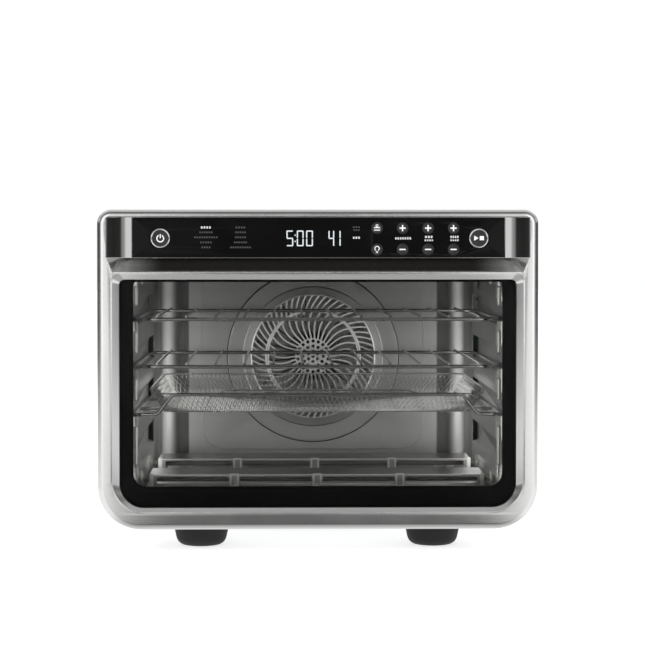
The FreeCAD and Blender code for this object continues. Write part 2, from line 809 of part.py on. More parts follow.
def fan_blades(name, hub, tip, span, plate, blades):
    """Wheel with flat blades on a plate, bored for the fan shaft."""
    body = new_body(name)
    layer(body, "front", circle(0, 0, hub), span[0], span[1] - span[0])
    layer(body, "front", circle(0, 0, plate), span[1] - 1.2, 1.2)
    shape = polygon([(hub - 2, 0), (tip, 8), (tip - 0.5, 9.5), (hub - 2.6, 1.6)])
    blade = layer(body, "front", shape, span[0], span[1] - span[0] - 0.6)
    pattern(body, blade, blades)
    layer(body, "front", circle(0, 0, size.shaft), span[0] - 2, span[1] - span[0] + 4, pocket=True)
    bind(body, "Placement.Base.z", size.fan_height)


def fan_shaft():
    bar("fan_shaft", "y", size.shaft, (140, 225), (0, size.fan_height))


def fan_motor():
    """Shaded-pole motor: laminated stack, coil and bearing caps, bored for the shaft."""
    height = size.fan_height
    solid = fuse("motor_solid", [
        box("motor_stack", (-30, 30), (184, 202), (height - 26, height + 26)),
        box("motor_coil", (-18, 18), (180, 206), (height - 44, height - 20)),
        bar("motor_caps", "y", 15, (177, 210), (0, height)),
    ])
    cut("fan_motor", solid,
        [bar("motor_bore", "y", size.shaft + size.shaft_play, (170, 215), (0, height))])


def motor_bracket():
    """Strap that carries the motor on two posts behind the fan chamber."""
    height = size.fan_height
    strap = fuse("bracket_solid", [
        box("bracket_strap", (-62, 62), (175.4, 177), (height - 12, height + 12)),
        bar("bracket_post_left", "y", 4, (172, 176), (-54, height)),
        bar("bracket_post_right", "y", 4, (172, 176), (54, height)),
    ])
    cut("motor_bracket", strap, [bar("bracket_hole", "y", 6, (170, 180), (0, height))])


def power_supply():
    """Mains board behind the cavity, on two posts, with its large components."""
    board = box("board_plate", (106, 200), (186, 187.6), (110, 222))
    posts = [bar("board_post", "y", 3, (150, 186), (x, z)) for x in (112, 194) for z in (116, 216)]
    fuse("power_board", [board] + posts)
    face = 187.6
    group("power_components", [
        box("transformer", (112, 144), (face, face + 26), (170, 204)),
        box("relay_one", (152, 171), (face, face + 16), (180, 205)),
        box("relay_two", (175, 194), (face, face + 16), (180, 205)),
        box("heat_sink", (112, 140), (face, face + 22), (122, 132)),
        bar("capacitor_one", "y", 8, (face, face + 24), (158, 140)),
        bar("capacitor_two", "y", 6, (face, face + 20), (180, 138)),
    ])


# ---------------------------------------------------------------- racks, basket and crumb tray


def rack(name, floor):
    """Wire rack: one closed edge wire and twelve cross wires laid on it."""
    height = floor + size.groove_play + size.rack_wire
    left, right = both(size.rack_half)
    corners = [(left, size.rack_front, height), (right, size.rack_front, height),
               (right, size.rack_back, height), (left, size.rack_back, height)]
    pieces = [bent_wire(f"{name}_edge", corners, size.rack_wire, 22, closed=True)]
    top = height + size.rack_wire + size.cross_wire - 0.4
    for step in range(12):
        across = size.cross_pitch * (step - 5.5)
        pieces.append(bar("cross_wire", "y", size.cross_wire,
                          (size.rack_front - 2, size.rack_back + 2), (across, top)))
    fuse(name, pieces)


def basket():
    """Air-fry basket: a wire frame that slides in the grooves and a shallow tray laid in it."""
    height = rest_heights[1] + size.groove_play + size.basket_wire
    left, right = both(size.rack_half)
    front, back = size.rack_front, size.rack_back - 8
    rise = size.basket_top - 5
    route = [(left, back, height), (left, front, height), (-160, front, height),
             (-145, front, rise), (145, front, rise), (160, front, height),
             (right, front, height), (right, back, height)]
    edge = bent_wire("basket_edge", route, size.basket_wire, 6, closed=True)
    stays = [bar("basket_stay", "x", size.basket_wire, (left, right), (y, height))
             for y in (-110, 30)]
    fuse("basket_frame", [edge] + stays)

    body = new_body("basket_mesh")
    low = height + size.basket_wire
    top = size.basket_top
    wall = 1.0

    def section(half, start, end, corner):
        return rounded(both(half), (start, end), corner)

    loft(body, "plan", [(low, section(155, -178, 86, 14)), (top, section(169, -180.4, 94, 18))])
    loft(body, "plan", [(low + wall, section(155 - wall, -178 + wall, 86 - wall, 13)),
                        (top + 0.01, section(169 - wall, -180.4 + wall, 94 - wall, 17))],
         hollow=True)
    ledges = [rectangle(pair, (156, 170)) for pair in ((-172, -97), (97, 172))]
    layer(body, "front", several(ledges), -190, 16, pocket=True)


def crumb_tray():
    """Shallow tray on the cavity floor, with a taller lip at its front."""
    body = new_body("crumb_tray")
    floor = size.cavity_low + 0.5
    x = both(size.tray_half)
    y = (size.rack_front, size.tray_back)
    layer(body, "plan", rounded(x, y, 4, 40), floor, 6)
    layer(body, "plan", rounded(*inset(x, y, 1), 3, 39), floor + 1, 6, pocket=True)
    layer(body, "plan", rectangle(both(168), (size.rack_front, size.rack_front + 1.2)), floor, 9)


# ---------------------------------------------------------------- door


def door_frame():
    """Pressed door skin with its returned sides, and the stepped and bevelled frame of the window."""
    body = new_body("door_frame")
    solid = layer(body, "front", door_outline(0), door_front, size.door_thick)
    doc.recompute()
    edge = body.newObject("PartDesign::Fillet", "door_frame_edge")
    edge.Base = (solid, edges_at_front(solid, door_front.number))
    edge.Radius = 1.4
    layer(body, "front", door_outline(size.door_skin), door_front + size.door_skin,
          size.door_thick, pocket=True)
    seat = window_floor + size.glass_thick + 0.6
    layer(body, "front", window_outline(-2.0), door_front + 1, seat - door_front + 2)
    layer(body, "front", window_outline(0), door_front, size.step_drop, pocket=True)
    loft(body, "front", [(door_front + size.step_drop - 0.01, window_outline(0.6)),
                         (window_floor, glass_outline(0))], hollow=True)
    layer(body, "front", glass_outline(0), window_floor - 0.01, seat - window_floor, pocket=True)
    layer(body, "front", rounded(both(size.clear_half + 5), (56, 269), 16, 4),
          door_front, size.door_thick, pocket=True)
    ears = [rectangle((side * size.hinge_side - 3.5, side * size.hinge_side + 3.5),
                      (size.hinge_back - 14, door_back + 1)) for side in (-1, 1)]
    layer(body, "plan", several(ears), size.door_low - 2, 6, pocket=True)


def door_glass():
    body = new_body("door_glass")
    layer(body, "front", glass_outline(0.3), window_floor, size.glass_thick)


def glass_border():
    """Black printed border behind the outer glass."""
    body = new_body("glass_border")
    face = window_floor + size.glass_thick
    layer(body, "front", glass_outline(0.3), face, 0.5)
    layer(body, "front", rounded(CLEAR_X, CLEAR_Z, 13, 3), face, 0.5, pocket=True)


def inner_glass():
    body = new_body("inner_glass")
    layer(body, "front", rounded(both(190), (52, 274), 8), door_back - 9, size.glass_thick)


def door_inner_frame():
    """Steel back of the door, with a lip that holds the inner glass."""
    body = new_body("door_inner_frame")
    wall = size.sheet_metal
    layer(body, "front", door_outline(size.door_skin + 0.2), door_back - wall, wall)
    layer(body, "front", rounded(both(187), (55, 271), 8), door_back - 5, 5)
    layer(body, "front", rounded(both(187 - wall), (55 + wall, 271 - wall), 7),
          door_back - 6, 8, pocket=True)
    ears = [rectangle((side * size.hinge_side - 4.5, side * size.hinge_side + 4.5), (20, 52))
            for side in (-1, 1)]
    layer(body, "front", several(ears), door_back - 3, 5, pocket=True)
    holes = [circle(x, z, 2) for x in (-205, 205) for z in (90, 180, 250)]
    layer(body, "front", several(holes), door_back - 3, 5, pocket=True)


def hinge_arms():
    """On each side of the door, two lugs joined by a plate, which hold the hinge pin."""
    solids = []
    for side in (-1, 1):
        middle = side * size.hinge_side
        front = size.hinge_back - 8.8
        z = (size.hinge_height - 8, size.hinge_height + 9)
        pieces = [box("hinge_lug", (low, low + 4), (front, size.hinge_back + 4.6), z)
                  for low in (middle - 6.5, middle + 2.5)]
        pieces.append(box("hinge_plate", (middle - 6.5, middle + 6.5), (front, front + 1.4), z))
        bore = bar("lug_bore", "x", size.hinge_pin, (middle - 8, middle + 8),
                   (size.hinge_back, size.hinge_height))
        solids.append(cut("hinge_arm", fuse("arm_solid", pieces), [bore]))
    group("hinge_arms", solids)


def hinge_pins():
    solids = []
    for side in (-1, 1):
        middle = side * size.hinge_side
        solids.append(bar("hinge_pin_bar", "x", size.hinge_pin, (middle - 7.5, middle + 7.5),
                          (size.hinge_back, size.hinge_height)))
    group("hinge_pins", solids)


def handle_shell():
    """Handle across the door: quarter-round ends, a finger gap behind, and a trough for the
    controls behind the glass."""
    body = new_body("handle_shell")
    low, tall = size.handle_low, size.handle_high - size.handle_low
    inner_half = size.handle_half - size.handle_wall
    gap_front = handle_front + size.handle_wall
    layer(body, "plan", rounded(both(size.handle_half), (handle_front, -190), size.handle_corner, 5),
          low, tall)
    layer(body, "plan", rounded(both(inner_half), (gap_front, -170),
                                size.handle_corner - size.handle_wall, 5), low, tall, pocket=True)
    layer(body, "plan", rectangle(both(220), (door_front, -180)), low, tall, pocket=True)
    seat = handle_front + 0.6 + size.control_glass_thick
    layer(body, "front", rectangle(both(180.2), (low + 0.4, low + tall - 0.4)),
          handle_front, seat - handle_front, pocket=True)
    layer(body, "front", rounded(both(172), (low + 1.5, low + tall - 1.5), 2),
          handle_front, size.handle_wall - 2, pocket=True)


BIG = "big"
SMALL = "small"
BUTTONS = [
    ("button_power", -153.0, 311.0, BIG),
    ("button_start_stop", 155.0, 311.0, BIG),
    ("button_rack_level", 56.4, 320.7, SMALL),
    ("button_light", 56.4, 300.1, SMALL),
    ("button_function_up", 81.1, 320.7, SMALL),
    ("button_function_down", 81.1, 300.1, SMALL),
    ("button_time_up", 105.8, 320.7, SMALL),
    ("button_time_down", 105.8, 300.1, SMALL),
    ("button_heat_up", 130.5, 320.7, SMALL),
    ("button_heat_down", 130.5, 300.1, SMALL),
]


def button_radius(kind):
    return size.big_button if kind == BIG else size.small_button


def control_glass():
    body = new_body("control_glass")
    z = (size.handle_low + 0.6, size.handle_high - 0.6)
    front = handle_front + 0.6
    layer(body, "front", rounded(both(179.9), z, 0.6), front, size.control_glass_thick)
    holes = [circle(x, height, button_radius(kind) + size.button_gap)
             for _, x, height, kind in BUTTONS]
    layer(body, "front", several(holes), front, size.control_glass_thick, pocket=True)


def control_board():
    """Board at the bottom of the handle's trough, with a tact switch behind each button."""
    floor = handle_front + size.handle_wall - 2
    board = box("control_plate", (-168, 168), (floor - 1.6, floor), (296, 327))
    switches = [box("tact_switch", (x - 3, x + 3), (handle_front + 7.0, floor - 1.0),
                    (height - 3, height + 3)) for _, x, height, _ in BUTTONS]
    fuse("control_board", [board] + switches)


def display_module():
    """Block of lit segments behind the control glass."""
    floor = handle_front + size.handle_wall - 2
    seat = handle_front + 0.6 + size.control_glass_thick
    box("display_module", (-38, 28), (seat, floor - 1.6), (299, 322))


def button(name, x, height, kind):
    """Push button: a cap in the control glass, a flange that keeps it in, and a stem."""
    radius = button_radius(kind)
    front = handle_front
    back_of_glass = front + 0.6 + size.control_glass_thick
    fuse(name, [
        bar("button_cap", "y", radius, (front, front + 3.2), (x, height)),
        bar("button_flange", "y", radius + 0.6, (back_of_glass + 0.3, back_of_glass + 1.3),
            (x, height)),
        bar("button_stem", "y", 2, (front + 3, front + 6.7 - size.button_travel), (x, height)),
    ])


# ---------------------------------------------------------------- build, check and write

outer_wrap()
base_pan()
rear_cover()
front_frame()
feet()
case_screws()
wall_spacers()
cord_inlet()
hinge_brackets()
side_liner("left_liner", -1, rod_holes())
side_liner("right_liner", 1, rod_holes() + [circle(size.lamp_back, size.lamp_height, 10)])
rear_liner()
cavity_ceiling()
cavity_floor()
insulation_blanket()
heaters("upper_heaters", rod_places()[0])
heaters("lower_heaters", rod_places()[1])
heater_insulators()
heater_guard("front_heater_guard", size.front_guard)
heater_guard("rear_heater_guard", size.rear_guard)
fan_grille()
grille_screws()
temperature_probe()
lamp()
fan_chamber()
fan_blades("convection_fan", 12, 66, (142, 163), 30, 16)
fan_blades("cooling_fan", 8, 42, (213, 224), 12, 10)
fan_shaft()
fan_motor()
motor_bracket()
power_supply()
rack("upper_rack", rest_heights[3])
rack("lower_rack", rest_heights[2])
basket()
crumb_tray()
door_frame()
door_glass()
glass_border()
inner_glass()
door_inner_frame()
hinge_arms()
hinge_pins()
handle_shell()
control_glass()
control_board()
display_module()
for entry in BUTTONS:
    button(*entry)

NODES = [
    "outer_wrap", "base_pan", "rear_cover", "front_frame", "feet", "case_screws", "wall_spacers",
    "cord_inlet", "hinge_brackets", "left_liner", "right_liner", "rear_liner", "cavity_ceiling",
    "cavity_floor", "insulation_blanket", "upper_heaters", "lower_heaters", "heater_insulators",
    "front_heater_guard", "rear_heater_guard", "fan_grille", "grille_screws", "temperature_probe",
    "lamp_lens", "lamp_bulb", "lamp_housing", "fan_chamber", "convection_fan", "cooling_fan",
    "fan_shaft", "fan_motor", "motor_bracket", "power_board", "power_components", "upper_rack",
    "lower_rack", "basket_frame", "basket_mesh", "crumb_tray", "door_frame", "door_glass",
    "glass_border", "inner_glass", "door_inner_frame", "hinge_arms", "hinge_pins", "handle_shell",
    "control_glass", "control_board", "display_module",
] + [name for name, *_ in BUTTONS]

doc.recompute()
for item in doc.Objects:
    if "Invalid" in item.State or "Error" in item.State:
        raise RuntimeError(f"{item.Label} failed: {item.State}")

os.makedirs("parts", exist_ok=True)
for name in NODES:
    shape = doc.getObjectsByLabel(name)[0].Shape
    if shape.isNull() or not shape.isValid() or not shape.Solids:
        raise RuntimeError(f"{name} has no valid solid")
    shape.exportStep(f"parts/{name}.step")
print(f"{len(NODES)} pieces written")
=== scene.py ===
"""Looks of the countertop convection oven: its visible pieces, its materials and its studio."""
import json
import math

import bmesh
import bpy
from bpy.props import FloatProperty, FloatVectorProperty, IntProperty, PointerProperty
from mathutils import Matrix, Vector
from mathutils.geometry import tessellate_polygon

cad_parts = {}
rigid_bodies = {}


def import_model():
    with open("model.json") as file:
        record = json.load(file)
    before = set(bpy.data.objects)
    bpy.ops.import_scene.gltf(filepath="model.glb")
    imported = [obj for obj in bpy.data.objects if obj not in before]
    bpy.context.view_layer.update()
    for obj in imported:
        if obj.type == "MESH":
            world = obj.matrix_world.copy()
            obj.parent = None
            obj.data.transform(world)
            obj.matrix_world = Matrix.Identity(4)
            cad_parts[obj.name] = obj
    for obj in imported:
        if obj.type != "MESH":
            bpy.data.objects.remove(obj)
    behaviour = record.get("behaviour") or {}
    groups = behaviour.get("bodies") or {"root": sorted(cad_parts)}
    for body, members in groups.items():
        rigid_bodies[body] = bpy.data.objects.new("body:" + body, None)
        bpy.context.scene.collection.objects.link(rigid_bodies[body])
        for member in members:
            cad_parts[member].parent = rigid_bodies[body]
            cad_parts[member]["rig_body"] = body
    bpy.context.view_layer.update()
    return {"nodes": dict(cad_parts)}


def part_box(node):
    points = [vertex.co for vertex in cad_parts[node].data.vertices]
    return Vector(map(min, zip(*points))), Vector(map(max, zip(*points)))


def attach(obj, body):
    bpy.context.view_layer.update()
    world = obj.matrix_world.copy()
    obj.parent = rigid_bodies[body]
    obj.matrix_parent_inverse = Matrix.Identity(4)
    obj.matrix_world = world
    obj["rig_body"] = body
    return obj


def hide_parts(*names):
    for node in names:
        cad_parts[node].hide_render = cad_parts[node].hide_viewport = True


bl_info = {
    "name": "Countertop Oven",
    "version": (1, 0, 0),
    "blender": (4, 5, 0),
    "location": "View3D > Sidebar > Oven",
    "description": "Builds the countertop oven's visible pieces, materials and studio",
    "category": "Object",
}

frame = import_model()
MM = 0.001


def span(node):
    """A node's lowest and highest corners, in millimetres."""
    low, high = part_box(node)
    return low / MM, high / MM


DOOR_LOW, DOOR_HIGH = span("door_frame")
GLASS_LOW, GLASS_HIGH = span("door_glass")
HANDLE_LOW, HANDLE_HIGH = span("handle_shell")
PANEL_LOW, PANEL_HIGH = span("control_glass")
RACK_LOW, RACK_HIGH = span("upper_rack")
BASKET_LOW, BASKET_HIGH = span("basket_mesh")
GRILLE_LOW, GRILLE_HIGH = span("fan_grille")
WALL_HIGH = span("rear_liner")[1]
FRAME_FRONT = span("front_frame")[0].y
GUARD_TOP = span("front_heater_guard")[1].z


# ------------------------------------------------------------------ settings


class OvenDoorSizes(bpy.types.PropertyGroup):
    edge_roll: FloatProperty(name="Edge roll", description="Width of the rolled edge round the door",
                             default=6.0 * MM, unit="LENGTH")
    edge_drop: FloatProperty(name="Edge drop", description="How far the rolled edge falls back",
                             default=5.4 * MM, unit="LENGTH")
    scoop_depth: FloatProperty(name="Scoop depth", description="Depth of the finger scoop behind the handle",
                               default=9.2 * MM, unit="LENGTH")
    handle_edge: FloatProperty(name="Handle edge", description="Rounding of the handle's long edges",
                               default=0.7 * MM, unit="LENGTH")


class OvenWireSizes(bpy.types.PropertyGroup):
    cross_count: IntProperty(name="Cross wires", description="Wires across one rack", default=12, min=2)
    cross_pitch: FloatProperty(name="Cross pitch", description="Distance between a rack's cross wires",
                               default=29.15 * MM, unit="LENGTH")
    diamond_wide: FloatProperty(name="Diamond width", description="Width of one opening in the basket's mesh",
                                default=4.9 * MM, unit="LENGTH")
    diamond_long: FloatProperty(name="Diamond length", default=7.2 * MM, unit="LENGTH",
                                description="Length of one opening in the basket's mesh")
    strand: FloatProperty(name="Strand", description="Half width of the basket mesh's strands",
                          default=0.31 * MM, unit="LENGTH")
    vanes: IntProperty(name="Vanes", description="Curved vanes of the fan grille", default=34, min=6)
    ribs: IntProperty(name="Ribs", description="Slanted ribs round the fan grille", default=58, min=6)


class OvenFinish(bpy.types.PropertyGroup):
    door_steel: FloatVectorProperty(name="Door steel", description="Colour of the door's brushed steel",
                                    subtype="COLOR", size=4, min=0, max=1, default=(0.88, 0.88, 0.87, 1))
    case_steel: FloatVectorProperty(name="Case steel", description="Colour of the case's brushed steel",
                                    subtype="COLOR", size=4, min=0, max=1, default=(0.58, 0.58, 0.58, 1))
    handle_steel: FloatVectorProperty(name="Handle steel", description="Colour of the handle's steel",
                                      subtype="COLOR", size=4, min=0, max=1, default=(0.50, 0.50, 0.49, 1))
    cavity_grey: FloatVectorProperty(name="Cavity grey", description="Colour of the cavity's coated walls",
                                     subtype="COLOR", size=4, min=0, max=1, default=(0.50, 0.50, 0.50, 1))
    panel_black: FloatVectorProperty(name="Panel black", description="Colour of the control glass",
                                     subtype="COLOR", size=4, min=0, max=1, default=(0.004, 0.004, 0.004, 1))
    foot_black: FloatVectorProperty(name="Foot black", description="Colour of the feet",
                                    subtype="COLOR", size=4, min=0, max=1, default=(0.014, 0.013, 0.013, 1))
    digit_white: FloatVectorProperty(name="Digit white", description="Colour of the lit digits",
                                     subtype="COLOR", size=4, min=0, max=1, default=(0.86, 0.93, 0.98, 1))


# ------------------------------------------------------------------ shader groups and materials


class Graph:
    """Adds and wires up the nodes of one tree."""

    def __init__(self, tree):
        self.tree = tree
        self.column = 0

    def add(self, kind, values=None, **settings):
        node = self.tree.nodes.new(kind)
        node.location = (self.column * 190, 0)
        self.column += 1
        for name, value in settings.items():
            setattr(node, name, value)
        for socket, value in (values or {}).items():
            self.put(node.inputs[socket], value)
        return node

    def put(self, socket, value):
        if isinstance(value, bpy.types.NodeSocket):
            self.tree.links.new(value, socket)
        else:
            socket.default_value = value

    def math(self, operation, first, second=None, clamp=False):
        node = self.add("ShaderNodeMath", operation=operation, use_clamp=clamp)
        self.put(node.inputs[0], first)
        if second is not None:
            self.put(node.inputs[1], second)
        return node.outputs[0]

    def blend(self, mask, first, second):
        node = self.add("ShaderNodeMix", data_type="RGBA")
        self.put(node.inputs[0], mask)
        self.put(node.inputs[6], first)
        self.put(node.inputs[7], second)
        return node.outputs[2]

    def spread(self, value, low, high, to_low, to_high, smooth=False):
        node = self.add("ShaderNodeMapRange", {"Value": value, "From Min": low, "From Max": high,
                                               "To Min": to_low, "To Max": to_high})
        if smooth:
            node.interpolation_type = "SMOOTHSTEP"
        return node.outputs[0]


def shader_group(name, inputs, outputs):
    """An empty shader group with its sockets, and its graph, input node and output node."""
    tree = bpy.data.node_groups.new(name, "ShaderNodeTree")
    for label, kind, value in inputs:
        socket = tree.interface.new_socket(label, in_out="INPUT", socket_type=kind)
        if value is not None:
            socket.default_value = value
    for label, kind in outputs:
        tree.interface.new_socket(label, in_out="OUTPUT", socket_type=kind)
    graph = Graph(tree)
    return tree, graph, graph.add("NodeGroupInput"), graph.add("NodeGroupOutput")


def brush_lines_group():
    """Long parallel scratches of brushed sheet, with a second coarser set."""
    tree, graph, given, out = shader_group("Brush Lines", [
        ("Position", "NodeSocketVector", None),
        ("Stretch", "NodeSocketVector", (10, 900, 2600)),
        ("Depth", "NodeSocketFloat", 1.0)], [("Tone", "NodeSocketFloat"), ("Height", "NodeSocketFloat")])
    place = graph.add("ShaderNodeVectorMath", operation="MULTIPLY")
    graph.put(place.inputs[0], given.outputs["Position"])
    graph.put(place.inputs[1], given.outputs["Stretch"])
    fine = graph.add("ShaderNodeTexNoise", {"Vector": place.outputs[0], "Scale": 1.0, "Detail": 4.0,
                                            "Roughness": 0.7})
    coarse = graph.add("ShaderNodeTexNoise", {"Vector": place.outputs[0], "Scale": 0.22, "Detail": 2.0,
                                              "Roughness": 0.6})
    tone = graph.math("ADD", graph.math("MULTIPLY", fine.outputs[0], 0.65),
                      graph.math("MULTIPLY", coarse.outputs[0], 0.35))
    graph.put(out.inputs["Tone"], tone)
    graph.put(out.inputs["Height"], graph.math("MULTIPLY", tone, given.outputs["Depth"]))
    return tree


def handling_group():
    """Faint patches where the surface has been wiped and touched."""
    tree, graph, given, out = shader_group("Handling Marks", [
        ("Position", "NodeSocketVector", None),
        ("Size", "NodeSocketFloat", 14.0),
        ("Amount", "NodeSocketFloat", 0.1)], [("Mask", "NodeSocketFloat")])
    broad = graph.add("ShaderNodeTexNoise", {"Vector": given.outputs["Position"],
                                             "Scale": given.outputs["Size"], "Detail": 3.0,
                                             "Roughness": 0.55, "Distortion": 0.6})
    small = graph.add("ShaderNodeTexNoise", {"Vector": given.outputs["Position"], "Scale": 220.0,
                                             "Detail": 4.0, "Roughness": 0.7})
    mix = graph.math("ADD", graph.math("MULTIPLY", broad.outputs[0], 0.75),
                     graph.math("MULTIPLY", small.outputs[0], 0.25))
    mask = graph.spread(mix, 0.38, 0.66, 0.0, 1.0, smooth=True)
    graph.put(out.inputs["Mask"], graph.math("MULTIPLY", mask, given.outputs["Amount"]))
    return tree


def grain_group():
    """Fine moulded or cast grain."""
    tree, graph, given, out = shader_group("Moulded Grain", [
        ("Position", "NodeSocketVector", None),
        ("Size", "NodeSocketFloat", 1600.0)], [("Height", "NodeSocketFloat"), ("Speckle", "NodeSocketFloat")])
    cells = graph.add("ShaderNodeTexVoronoi", {"Vector": given.outputs["Position"],
                                               "Scale": given.outputs["Size"]})
    haze = graph.add("ShaderNodeTexNoise", {"Vector": given.outputs["Position"],
                                            "Scale": given.outputs["Size"], "Detail": 3.0})
    graph.put(out.inputs["Height"], graph.math("ADD", graph.math("MULTIPLY", cells.outputs[0], 0.6),
                                               graph.math("MULTIPLY", haze.outputs[0], 0.4)))
    graph.put(out.inputs["Speckle"], haze.outputs[0])
    return tree


def heat_group():
    """Straw and brown tints that steel takes near the heating rods."""
    tree, graph, given, out = shader_group("Heat Tint", [
        ("Position", "NodeSocketVector", None),
        ("Clean", "NodeSocketColor", (0.5, 0.5, 0.5, 1)),
        ("Tinted", "NodeSocketColor", (0.3, 0.22, 0.14, 1)),
        ("Amount", "NodeSocketFloat", 0.3)], [("Colour", "NodeSocketColor")])
    haze = graph.add("ShaderNodeTexNoise", {"Vector": given.outputs["Position"], "Scale": 26.0,
                                            "Detail": 4.0, "Distortion": 0.8})
    mask = graph.spread(haze.outputs[0], 0.42, 0.68, 0.0, 1.0, smooth=True)
    graph.put(out.inputs["Colour"], graph.blend(graph.math("MULTIPLY", mask, given.outputs["Amount"]),
                                                given.outputs["Clean"], given.outputs["Tinted"]))
    return tree


GROUPS = {}
MATERIALS = {}


def new_material(name):
    material = bpy.data.materials.new(name)
    material.use_nodes = True
    material.node_tree.nodes.clear()
    MATERIALS[name] = material
    return material, Graph(material.node_tree)


def placed_group(graph, name, values):
    """One of the shared groups, fed with Object coordinates."""
    position = graph.add("ShaderNodeTexCoord").outputs["Object"]
    node = graph.add("ShaderNodeGroup", node_tree=GROUPS[name])
    graph.put(node.inputs["Position"], position)
    for socket, value in values.items():
        graph.put(node.inputs[socket], value)
    return node.outputs


def shade(colour, factor):
    return tuple(channel * factor for channel in colour[:3]) + (1,)


def metal(name, colour, roughness, stretch, contrast=0.12, depth=0.02, marks=0.06, tint=None):
    """Steel sheet: brushed lines in tone and bump, handling marks in the roughness."""
    material, graph = new_material(name)
    lines = placed_group(graph, "Brush Lines", {"Stretch": stretch})
    marks_mask = placed_group(graph, "Handling Marks", {"Amount": marks})["Mask"]
    base = graph.blend(lines["Tone"], shade(colour, 1 - contrast), shade(colour, 1 + contrast))
    if tint:
        base = placed_group(graph, "Heat Tint", {"Clean": base, "Tinted": tint[0],
                                                 "Amount": tint[1]})["Colour"]
    rough = graph.math("ADD", graph.spread(lines["Tone"], 0.3, 0.7, roughness * 0.85, roughness * 1.15),
                       marks_mask)
    bump = graph.add("ShaderNodeBump", {"Strength": 0.5, "Distance": depth * MM, "Height": lines["Height"]})
    steel = graph.add("ShaderNodeBsdfPrincipled", {"Base Color": base, "Metallic": 1.0,
                                                   "Roughness": rough, "Normal": bump.outputs[0]})
    graph.add("ShaderNodeOutputMaterial", {"Surface": steel.outputs[0]})
    return material


def moulded(name, colour, roughness, size=1600.0, depth=0.03, variation=0.12, metallic=0.0, coat=0.0,
            shine=0.5):
    """Plastic, rubber, enamel or ceramic with a fine grain."""
    material, graph = new_material(name)
    grain = placed_group(graph, "Moulded Grain", {"Size": size})
    marks = placed_group(graph, "Handling Marks", {"Amount": 0.12})["Mask"]
    base = graph.blend(grain["Speckle"], shade(colour, 1 - variation), shade(colour, 1 + variation))
    bump = graph.add("ShaderNodeBump", {"Strength": 0.5, "Distance": depth * MM, "Height": grain["Height"]})
    body = graph.add("ShaderNodeBsdfPrincipled", {"Base Color": base, "Metallic": metallic,
                                                  "Roughness": graph.math("ADD", marks, roughness),
                                                  "Normal": bump.outputs[0]})
    body.inputs["Coat Weight"].default_value = coat
    body.inputs["Specular IOR Level"].default_value = shine
    graph.add("ShaderNodeOutputMaterial", {"Surface": body.outputs[0]})
    return material


def clear_glass(name, tint, gloss, extra):
    """Thin clear sheet: see-through, with reflections that grow towards grazing."""
    material, graph = new_material(name)
    marks = placed_group(graph, "Handling Marks", {"Size": 9.0, "Amount": 0.02})["Mask"]
    through = graph.add("ShaderNodeBsdfTransparent", {"Color": tint})
    shine = graph.add("ShaderNodeBsdfPrincipled", {"Base Color": (0.9, 0.9, 0.9, 1), "Metallic": 1.0,
                                                   "Roughness": graph.math("ADD", marks, gloss)})
    facing = graph.add("ShaderNodeLayerWeight", {"Blend": 0.5}).outputs["Facing"]
    edge = graph.math("MULTIPLY", graph.math("POWER", facing, 4.0), 0.6)
    amount = graph.math("ADD", edge, extra, clamp=True)
    mix = graph.add("ShaderNodeMixShader", {0: amount, 1: through.outputs[0], 2: shine.outputs[0]})
    graph.add("ShaderNodeOutputMaterial", {"Surface": mix.outputs[0]})
    return material


def opened(material):
    """A finished metal's graph, its colour input, the colour that feeds it, and the place's x, y and z."""
    graph = Graph(material.node_tree)
    body = next(node for node in material.node_tree.nodes if node.type == "BSDF_PRINCIPLED")
    colour = body.inputs["Base Color"]
    where = graph.add("ShaderNodeSeparateXYZ", {0: graph.add("ShaderNodeTexCoord").outputs["Object"]})
    return graph, colour, colour.links[0].from_socket, where.outputs


def scoop_steel(colour, stretch):
    """Steel of the finger scoop, with painted shade darkening its middle; its ends and lower lip keep the
    plain steel.
    """
    material = metal("scoop_steel", colour, 0.26, stretch, 0.06, 0.010, 0.03)
    graph, base, clean, (x, y, z) = opened(material)
    ends = graph.spread(graph.math("ABSOLUTE", x), 0.152, 0.200, 0.0, 0.85, smooth=True)
    lip = graph.spread(z, 0.2794, 0.2776, 0.0, 0.9, smooth=True)
    # The dark colour is painted shade in the recess behind the handle, kept off the ends and the lip.
    graph.put(base, graph.blend(graph.math("MAXIMUM", ends, lip), (0.065, 0.061, 0.058, 1), clean))
    return material


